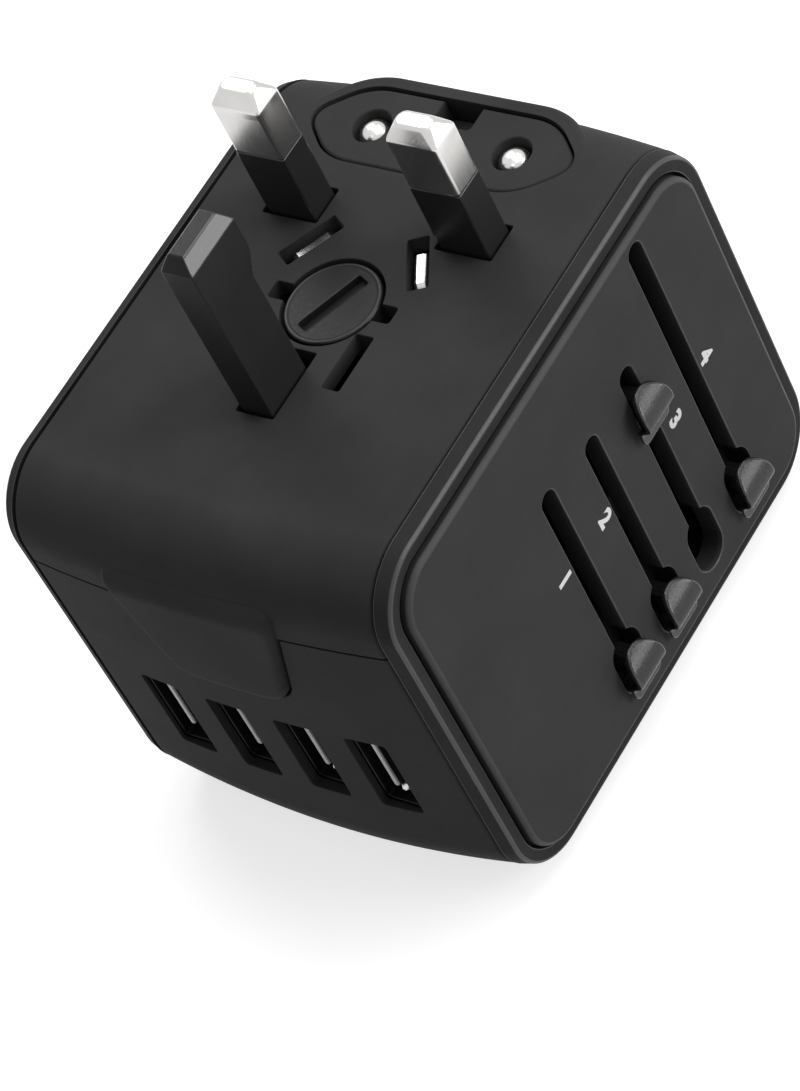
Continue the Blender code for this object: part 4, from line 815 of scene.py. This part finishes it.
# %% Slider lid and blank lid
SLOT_HALF, KEYHOLE_HALF = 1.25 * MM, 2.5 * MM
KEYHOLE_LOW, KEYHOLE_HIGH = 6.4 * MM, 14.7 * MM
SLOT_PLACES = {"us": (-6.85 * MM, 38.7 * MM), "aus": (1.35 * MM, 37.4 * MM),
               "uk": (9.55 * MM, 38.7 * MM), "euro": (17.85 * MM, 48.6 * MM)}


def upright_slot(y, low, high, half):
    """A slot with round ends, in y and z."""
    return single(soft_box((y - half, low), (y + half, high), half, 10))


def slider_lid():
    """The lid with guide slots and keyholes, all with rounded mouths."""
    panel = lid("slider_lid", 1, SLIDER_BAND)
    guides = [upright_slot(y, KEYHOLE_LOW + KEYHOLE_HALF, top, SLOT_HALF) for y, top in SLOT_PLACES.values()]
    keyholes = [upright_slot(y, KEYHOLE_LOW, KEYHOLE_HIGH, KEYHOLE_HALF) for y, top in SLOT_PLACES.values()]
    cutters = [mouth(outline, PANEL_X, 5.0 * MM, 0.15 * MM, 0) for outline in guides + keyholes]
    return worked(panel, "DIFFERENCE", *cutters)


# Painted shade: the band, rim and groove of both lids are darker than their panels.
slider_grain_and_shade = lid_grain_and_painted_shade("slider_lid_grain_and_shade", SLIDER_RIM_X)
blank_grain_and_shade = lid_grain_and_painted_shade("blank_lid_grain_and_shade", BLANK_RIM_X)
dressed(slider_lid(), slider_grain_and_shade, "body", "black_plastic", "slider_cover")
dressed(lid("blank_lid", -1, BLANK_BAND), blank_grain_and_shade, "body", "black_plastic", "blank_side_cover")

# %% [markdown]
# ## Slider knobs
# Each knob is a bent tab on a neck. A thumb pushes against its steep ramp, which faces the plug side, and
# behind the crest it drops steeply to a low lip. The tab is a thin sheet over a plan with one round
# end: rings run out along its underside, over the rounded rim and back in along its upper face.

# %% Knob
KNOB_RADIUS = 2.6 * MM
KNOB_FRONT, KNOB_BACK = 2.75 * MM, 3.65 * MM
KNOB_LIFT, KNOB_SHEET = 0.55 * MM, 0.75 * MM
KNOB_RIM = 0.22 * MM
KNOB_LINE = blurred(
    np.array([(-3.65, 1.05), (-2.00, 1.08), (-1.65, 1.18), (-1.40, 1.60), (-1.20, 2.15), (-0.95, 2.50),
              (-0.50, 2.60), (0.0, 2.56), (0.70, 2.40), (1.40, 2.06), (2.10, 1.52), (2.75, 0.80)]) * MM,
    0.05 * MM, 0.22 * MM)


def knob_top(s):
    """Height of the upper face over the panel at a place along the slot."""
    return np.interp(s, KNOB_LINE[:, 0], KNOB_LINE[:, 1])


def knob_under(s):
    """Height of the underside: one sheet lower, but never closer to the panel than the lift."""
    return np.maximum(KNOB_LIFT, knob_top(s) - KNOB_SHEET)


def knob_plan():
    """Half a circle at the plug end and two small round corners at the outlet end, in y and s."""
    front = arc_line((0.0, KNOB_FRONT - KNOB_RADIUS), KNOB_RADIUS, 0, 180, 28)
    corner, low = 0.8 * MM, -KNOB_BACK
    left = arc_line((-KNOB_RADIUS + corner, low + corner), corner, 180, 270, 8)
    right = arc_line((KNOB_RADIUS - corner, low + corner), corner, 270, 360, 8)
    return spread(np.concatenate([front, left, right]), 0.15 * MM)


def knob(name, y, crest_z):
    """The bent tab on its neck: x is the panel plus the height of the upper or the lower face."""
    plan = knob_plan()
    inset, drop = quarter(KNOB_RIM)
    rim = grown(plan, -inset)
    shares = np.linspace(0.97, 0.03, 36)
    face = inward(rim[-1], shares)
    flat = np.concatenate([face[::-1], rim[::-1], rim, face])
    s = flat[..., 1]
    fall = np.concatenate([0.0 * shares, drop[::-1], -drop, 0.0 * shares])[:, None]
    lower = np.arange(len(flat))[:, None] < len(flat) // 2
    x = PANEL_X + np.where(lower, knob_under(s), knob_top(s)) + fall
    tab = skinned(name, np.stack([x, flat[..., 0] + y, s + crest_z], -1))
    neck = spread(soft_box((-0.95 * MM, -1.75 * MM), (0.95 * MM, 1.75 * MM), 0.3 * MM, 4), 0.5 * MM)
    top = PANEL_X + knob_top(neck[:, 1]) - KNOB_SHEET / 2
    foot = 0.0 * top + 21.35 * MM
    across = neck + np.array([y, crest_z])
    stalk = np.stack([np.column_stack([foot, across]), np.column_stack([top, across])])
    return worked(tab, "UNION", skinned("stalk", stalk))


KNOB_REST_Z, UK_TRAVEL = 10.5 * MM, 22.7 * MM
for plug, (slot_y, slot_top) in SLOT_PLACES.items():
    crest_z = KNOB_REST_Z + (UK_TRAVEL if plug == "uk" else 0.0)
    dressed(knob(f"{plug}_tab", slot_y, crest_z), KNOB_SATIN, f"{plug}_button", "dark_plastic",
            f"{plug}_knob", angle=40.0)

# %% [markdown]
# ## Square pins
# The three thick pins are out. Two are solid metal with a plastic sleeve over the half next to the face,
# so that a finger can't touch live metal, and the third, the earth pin, is all plastic here. Their tips
# are chamfered on four sides and slightly rounded, so that they find the holes. Each pin is one outline
# carried up Z and drawn in towards the tip.

# %% Pins with sleeves
PIN_HALF = (3.175 * MM, 2.0 * MM)
PIN_TIP = PLUG_Z + 17.7 * MM
SLEEVE_TOP = PLUG_Z + 9.0 * MM
TIP_LINE = blurred(np.array([(0.0, -2.8), (0.0, -1.75), (0.95, -0.12), (1.30, 0.0), (1.6, 0.0)]) * MM,
                   0.06 * MM, 0.18 * MM)


def pillar(name, outline, line):
    """An outline carried up Z along a line of pairs: how far it is drawn in, and the height."""
    line = np.asarray(line, float)
    return skinned(name, laid(grown(single(outline), -line[:, 0]), line[:, 1], 2))


def square_pillar(name, half, centre, line, radius=0.45 * MM):
    """Round-cornered rectangles up Z: both half sizes lose the inset, and the corners grow with it."""
    inset, height = np.asarray(line, float).T
    half = np.asarray(half) - inset[:, None]
    corner = np.minimum(radius + 0.6 * inset, half.min(1) - 0.05 * MM)
    return skinned(name, laid(soft_box(centre - half, centre + half, corner, 6), height, 2))


def metal_pin(name, x):
    """A slim core under the sleeve, a small shoulder, then the full pin up to its chamfered tip."""
    slim = 0.53 * MM
    inset, drop = quarter(0.25 * MM)
    start = SLEEVE_TOP + 0.02 * MM
    shoulder = np.stack([inset[::-1], start + drop[::-1]], 1)
    line = np.concatenate([[(slim, 45.2 * MM), (slim, start)], shoulder, TIP_LINE + (0.0, PIN_TIP)])
    return square_pillar(name, PIN_HALF, np.array([x, PIN_ROW_Y]), line)


def pin_sleeve(name, x):
    """A thin tube round the core: up the outside, over a small edge and down the inside."""
    outline = slot_outline(*PIN_HALF, (x, PIN_ROW_Y), 0.0, 0.3 * MM)
    inset, drop = quarter(0.12 * MM, 3)
    low = 50.0 * MM
    line = [(0.0, low), *zip(inset, SLEEVE_TOP - drop), (0.5 * MM, SLEEVE_TOP), (0.5 * MM, low)]
    rings = laid(grown(single(outline), -np.array(line)[:, 0]), np.array(line)[:, 1], 2)
    return tube(name, rings)


for side, pin in ((1, "line"), (-1, "neutral")):
    pin_x = PLUG_X + side * UK_PITCH / 2
    dressed(metal_pin(f"{pin}_pin", pin_x), NICKEL, "uk_plug", "nickel_plate", f"uk_{pin}_pin")
    dressed(pin_sleeve(f"{pin}_sleeve", pin_x), SLEEVE_SATIN, "uk_plug", "black_plastic", f"uk_{pin}_sleeve")

# %% [markdown]
# The earth pin is one black moulding. Its stem is a little shallower than its head, so that sockets which
# grip the head don't rub the stem. Two lines describe it: how far its back face stands out and how far
# it is drawn in, both looked up by height. The long chamfers of its tip meet the socket first. They are
# shinier from polish and paler as a painted highlight.

# %% Earth pin
EARTH_HALF_X = 2.0 * MM
EARTH_LOW_Y = EARTH_Y - 4.0 * MM
EARTH_BACK = blurred(np.array([(-7.18, 50.0), (-7.18, 66.1), (-5.88, 68.9), (-5.88, 74.8)]) * MM,
                     0.1 * MM, 0.25 * MM)
EARTH_DRAW = blurred(np.array([(0.0, 50.0), (0.0, 73.1), (0.95, 74.68), (1.15, 74.8), (1.7, 74.8)]) * MM,
                     0.08 * MM, 0.08 * MM)


def earth_pin():
    """Round-cornered rectangles up Z, with the back face and the inset read from the two lines."""
    inset, height = EARTH_DRAW[:, 0], EARTH_DRAW[:, 1]
    back = np.interp(height, EARTH_BACK[:, 1], EARTH_BACK[:, 0])
    low = np.stack([PLUG_X - EARTH_HALF_X + inset, EARTH_LOW_Y + inset], 1)
    high = np.stack([PLUG_X + EARTH_HALF_X - inset, back - inset], 1)
    corner = np.maximum(0.22 * MM - inset / 3, 0.12 * MM)
    rings = laid(soft_box(low, high, corner, 5), height, 2)
    peg = block((PLUG_X - 1.0 * MM, -12.88 * MM, 45.7 * MM), (PLUG_X + 1.0 * MM, -10.3 * MM, 50.2 * MM))
    return worked(skinned("earth_pin", rings), "UNION", peg)


def polish_and_highlight_slopes(obj):
    """Full polish and painted highlight on the faces that slope both sideways and up: the long chamfers of
    the tip.
    """
    normal = np.empty(len(obj.data.polygons) * 3)
    obj.data.polygons.foreach_get("normal", normal)
    across, _, up = normal.reshape(-1, 3).T
    obj.data.attributes["polish_and_highlight"].data.foreach_set("value", (np.abs(across) * up > 0.3).astype(float))


earth = earth_pin()
dressed(earth, SLEEVE_SATIN, "uk_plug", "black_plastic", "uk_earth_pin")
# Painted highlight: the tip's chamfers get the paler colour, with polish for their shine.
polish_and_highlight_slopes(earth)

# %% [markdown]
# ## Flat blades
# Two more pairs of pins wait behind the face, and only their tips show in the openings. They are punched
# from sheet, so each is a flat outline with a chamfered tip, given thickness and well rounded edges.

# %% Blades
BLADE_LOW = 16.8 * MM


def blade(name, centre, half_width, half_thick, tip, angle):
    """A flat outline in width and height, carried through its thickness and turned about Z."""
    chamfer, tang, end = 1.2 * MM, 1.3 * MM, BLADE_LOW - 3.0 * MM
    outline = np.array([
        (-tang, end), (tang, end), (tang, BLADE_LOW), (half_width, BLADE_LOW),
        (half_width, tip - chamfer), (half_width - chamfer, tip), (chamfer - half_width, tip),
        (-half_width, tip - chamfer), (-half_width, BLADE_LOW), (-tang, BLADE_LOW)])
    inset, drop = quarter(0.5 * MM, 6)
    margins = -np.concatenate([inset[::-1], inset])
    depth = np.concatenate([drop[::-1] - half_thick, half_thick - drop])
    flat = grown(outline, margins)
    across = np.stack([np.broadcast_to(depth[:, None], flat.shape[:2]), flat[..., 0]], -1)
    placed = turned_flat(across, angle, centre)
    return skinned(name, np.concatenate([placed, flat[..., 1:]], -1))


for side, hand in ((1, "right"), (-1, "left")):
    flat_blade = blade(f"flat_blade_{hand}", (PLUG_X + side * US_PITCH / 2, US_Y), 3.175 * MM, 0.75 * MM,
                       PLUG_Z - 4.6 * MM, 0.0)
    dressed(flat_blade, NICKEL, "us_plug", "nickel_plate", f"us_blade_{hand}")
    slanted_blade = blade(f"slanted_blade_{hand}", (PLUG_X + side * AUS_PITCH / 2, AUS_Y), 3.15 * MM,
                          0.8 * MM, PLUG_Z - 0.8 * MM, side * AUS_SLANT)
    dressed(slanted_blade, NICKEL, "aus_plug", "nickel_plate", f"aus_blade_{hand}")

# %% [markdown]
# ## Two-pin plug
# The flat hexagonal block comes out of the face by itself, and then its round pins come out of it. The
# pins have ball ends, and they sit in round bores. The block is the hexagon carried up Z over a
# small rounded edge. A notch in its long edge gives a fingernail a hold.

# %% Two-pin block and its round pins
EURO_TOP = PLUG_Z - 0.2 * MM
EURO_FLOOR = EURO_TOP - 24.3 * MM
EURO_PITCH = 18.0 * MM


def euro_block():
    """The hexagon up to a rounded edge, less the notch and the two bores with their rounded mouths."""
    inset, drop = quarter(0.4 * MM)
    line = np.concatenate([[(0.0, EURO_FLOOR)], np.stack([inset, EURO_TOP - drop], 1)])
    body = pillar("two_pin_block", euro_outline(0.0), line)
    edge = EURO_Y + 5.05 * MM
    notch = soft_box((PLUG_X - 2.5 * MM, edge - 3.2 * MM), (PLUG_X + 2.5 * MM, edge + 4 * MM), 0.5 * MM, 5)
    cutters = [mouth(notch, EURO_TOP, 3.0 * MM, 0.25 * MM, 2)]
    for side in (-1, 1):
        place = (PLUG_X + side * EURO_PITCH / 2, EURO_Y)
        cutters.append(mouth(disc_outline(2.25 * MM, place, 48), EURO_TOP, 30 * MM, 0.22 * MM, 2))
    return worked(body, "DIFFERENCE", *cutters)


def round_pin(name, x):
    """A disc carried up Z: straight, then drawn in over a half ball by one less cosine."""
    radius, tip, foot = 2.0 * MM, PLUG_Z - 0.2 * MM, 6.45 * MM
    turn = np.linspace(0.0, math.radians(88.0), 14)
    ball = np.stack([radius * (1 - np.cos(turn)), tip - radius + radius * np.sin(turn)], 1)
    return pillar(name, disc_outline(radius, (x, EURO_Y), 40), np.concatenate([[(0.0, foot)], ball]))


dressed(euro_block(), BLACK_GRAIN, "euro_plug_block", "dark_plastic", "euro_block")
for side, hand in ((1, "right"), (-1, "left")):
    ball_pin = round_pin(f"round_pin_{hand}", PLUG_X + side * EURO_PITCH / 2)
    dressed(ball_pin, NICKEL, "euro_pins", "nickel_plate", f"euro_pin_{hand}")

# %% [markdown]
# ## Fuse cap
# A spare-sized fuse sits under a bayonet cap that a coin or a screwdriver turns. The cap is a turned part:
# a disc carried up Z, over a thin raised rim and onto a flat face, with a driver slot cut across it.

# %% Fuse cap
CAP_RADIUS = 5.4 * MM
CAP_FACE = PLUG_Z - 0.2 * MM
CAP_LINE = np.array([(2.8, 47.2), (2.8, 48.8), (0.0, 48.8), (0.0, 51.70), (0.06, 51.86), (0.18, 51.97),
                     (0.30, 52.0), (0.42, 51.97), (0.52, 51.91), (0.70, 51.90), (5.2, 51.90)]) * MM


def fuse_cap():
    """The turned cap, less its driver slot and plus its two bayonet lugs."""
    place = (FUSE_X, FUSE_Y)
    cap = pillar("bayonet_cap", disc_outline(CAP_RADIUS, place, 72), CAP_LINE)
    driver = slot_outline(4.1 * MM, 0.9 * MM, place, math.radians(66.0), 0.3 * MM)
    worked(cap, "DIFFERENCE", mouth(driver, CAP_FACE, 0.9 * MM, 0.12 * MM, 2))
    lug_x, lug_y = 1.0 * MM, 6.1 * MM
    lugs = block((FUSE_X - lug_x, FUSE_Y - lug_y, 48.85 * MM), (FUSE_X + lug_x, FUSE_Y + lug_y, 49.7 * MM))
    return worked(cap, "UNION", lugs)


dressed(fuse_cap(), CAP_SATIN, "fuse_bayonet", "dark_plastic", "fuse_cap")

# %% [markdown]
# ## USB ports
# Behind each mouth sits a folded steel shell with a plastic tongue down its middle. The shell is a cup:
# one outline runs forward outside, over the front edge and back inside, and its steel is painted nearly
# black as painted shade. The tongue is white plastic, but only its thin front edge keeps that white: the
# rest of it is painted black as painted shade. It carries four contact leaves, made once and copied by
# adding an array of offsets. The two fast ports also have a bright spring finger at the low end.

# %% USB shells, tongues and contacts
def usb_shell(name, x):
    """Round-cornered rectangles along Y: outside forward, over the edge, inside back to the rear wall."""
    wall = 0.4 * MM
    margin = np.array([wall, wall, wall - 0.04 * MM, wall - 0.14 * MM, 0.10 * MM, 0.02 * MM, 0.0, 0.0])
    run = np.array([12.5, 0.14, 0.04, 0.0, 0.0, 0.06, 0.16, 12.1]) * MM
    half = np.array([USB_HALF_X, USB_HALF_Z]) + margin[:, None]
    centre = np.array([x, USB_Z])
    rings = soft_box(centre - half, centre + half, 0.35 * MM + margin, 5)
    return skinned(name, laid(rings, USB_FRONT + run, 1))


def port_bar(name, x, half_x, half_z, run):
    """Rectangles along Y about the tongue's middle, by half sizes and depth behind the shell's front."""
    half = np.stack([half_x, half_z], 1) * MM
    centre = np.array([x - 0.3 * MM, USB_Z + 0.5 * MM])
    return skinned(name, laid(soft_box(centre - half, centre + half, 0.12 * MM, 4), USB_FRONT + run * MM, 1))


def usb_tongue(name, x):
    """A thick bar along Y that steps down to a thin blade."""
    half_x = np.array([0.95, 0.95, 0.26, 0.26])
    half_z = np.array([5.20, 5.20, 3.70, 3.70])
    return port_bar(name, x, half_x, half_z, np.array([11.8, 2.0, 1.8, 0.3]))


def tongue_edge(name, x):
    """The front edge of the blade, in the tongue's own white, slightly rounded."""
    half_x = np.array([0.26, 0.26, 0.22, 0.15])
    half_z = np.array([3.70, 3.70, 3.66, 3.58])
    return port_bar(name, x, half_x, half_z, np.array([0.3, 0.10, 0.04, 0.02]))


def spring_finger(name, x):
    """A small bent finger at the low end of the port: rectangles that grow with depth."""
    half = np.array([(0.20, 0.12), (0.55, 0.45), (0.60, 0.50), (0.60, 0.50)]) * MM
    centre = np.array([x + 0.35 * MM, USB_Z - 3.75 * MM])
    run = np.array([0.10, 0.55, 0.70, 3.0]) * MM
    return skinned(name, laid(soft_box(centre - half, centre + half, 0.08 * MM, 4), USB_FRONT + run, 1))


def contact_leaves(name, x):
    """Four rounded strips on the tongue's open side, copied by offsets along Z."""
    inset, drop = quarter(0.08 * MM, 3)
    strip = soft_box((USB_FRONT + 2.2 * MM, -0.5 * MM), (USB_FRONT + 9.0 * MM, 0.5 * MM), 0.3 * MM, 4)
    face = x - 0.3 * MM + 0.95 * MM
    margins = np.concatenate([[0.0], -inset])
    height = face + np.concatenate([[-0.1 * MM], 0.14 * MM - drop])
    one = laid(grown(single(strip), margins), height, 0)
    steps = np.array([-3.5, -1.0, 1.0, 3.5]) * MM + USB_Z
    return skinned(name, one + steps[:, None, None, None] * np.array([0.0, 0.0, 1.0]))


for number, port_x in enumerate(USB_PLACES, 1):
    dressed(usb_shell(f"port_shell_{number}", port_x), SHELL_STEEL_PAINTED_SHADE, "body", "nickel_plate",
            f"usb_shell_{number}")
    # Painted shade: the white tongue's body gets the black finish, so only its front edge shows white.
    dressed(usb_tongue(f"port_tongue_{number}", port_x), INNER_BLACK, "body", "black_plastic",
            f"usb_tongue_{number}")
    dressed(tongue_edge(f"port_tongue_edge_{number}", port_x), TONGUE_WHITE, "body", "white_plastic")
    if number > 2:
        dressed(spring_finger(f"port_finger_{number}", port_x), NICKEL, "body", "nickel_plate")
    dressed(contact_leaves(f"port_contacts_{number}", port_x), SPRING_BRASS, "body", "brass")

# %% [markdown]
# ## Numbers beside the slots
# Each slot is marked so that the user knows which pins it drives. Plain numbers do that here. A number is
# drawn as text, made a mesh, and then turned and laid on the panel as a thin layer of white ink. Object
# coordinates stay right because the place goes into the mesh.

# %% Printed numbers
NUMBER_PLACES = {"1": (-9.85, 28.2), "2": (-1.5, 27.9), "3": (12.95, 26.6), "4": (20.55, 28.0)}
NUMBER_HEIGHT = 2.3 * MM
INK = moulded("white_ink", (0.66, 0.66, 0.65), 0.55, 0.12 * MM, 0.004 * MM)


def printed_number(text, y, z):
    """A number as a thin plate on the panel: its width runs down -Z and its height runs up +Y."""
    curve = bpy.data.curves.new(f"number_{text}", "FONT")
    curve.body = text
    curve.align_x = "CENTER"
    curve.align_y = "CENTER"
    curve.extrude = 0.006
    curve.offset = 0.045
    writer = linked(f"number_writer_{text}", curve)
    bpy.context.view_layer.update()
    graph = bpy.context.evaluated_depsgraph_get()
    mesh = bpy.data.meshes.new_from_object(writer.evaluated_get(graph))
    bpy.data.objects.remove(writer)
    points = np.empty(len(mesh.vertices) * 3)
    mesh.vertices.foreach_get("co", points)
    flat = points.reshape(-1, 3)
    flat = flat * (NUMBER_HEIGHT / np.ptp(flat[:, 1]))
    placed = np.stack([PANEL_X + flat[:, 2] + 0.01 * MM, y + flat[:, 1], z - flat[:, 0]], 1)
    mesh.vertices.foreach_set("co", placed.ravel())
    mesh.update()
    return linked(f"number_{text}", mesh)


for text, (number_y, number_z) in NUMBER_PLACES.items():
    dressed(printed_number(text, number_y * MM, number_z * MM), INK, "body", "white_plastic")

# %% [markdown]
# ## The solids that stay
# The rest of the adapter is inside or on the outlet end: carriages, fuse, contacts, supply board and
# the socket plate. Their solids have the right shapes already, so they only get finishes.

# %% Finishes for the inside
KEPT = {
    "socket_plate": BLACK_GRAIN, "socket_shutter": GUIDE_GREY, "uk_carriage": INNER_BLACK,
    "us_carriage": INNER_BLACK, "aus_carriage": INNER_BLACK, "euro_carriage": INNER_BLACK,
    "fuse_holder": INNER_BLACK, "fuse_tube": CERAMIC, "fuse_ferrule_top": NICKEL,
    "fuse_ferrule_low": NICKEL, "fuse_contact": SPRING_BRASS, "contact_frame": INNER_BLACK,
    "contact_line": SPRING_BRASS, "contact_neutral": SPRING_BRASS, "usb_board": BOARD_GREEN,
    "transformer": WINDING_TAPE, "capacitor": CAN_SLEEVE,
}
for solid, finish in KEPT.items():
    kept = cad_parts[solid]
    for slot in kept.material_slots:
        slot.material = finish
print(len(KEPT), "solids keep their shape")
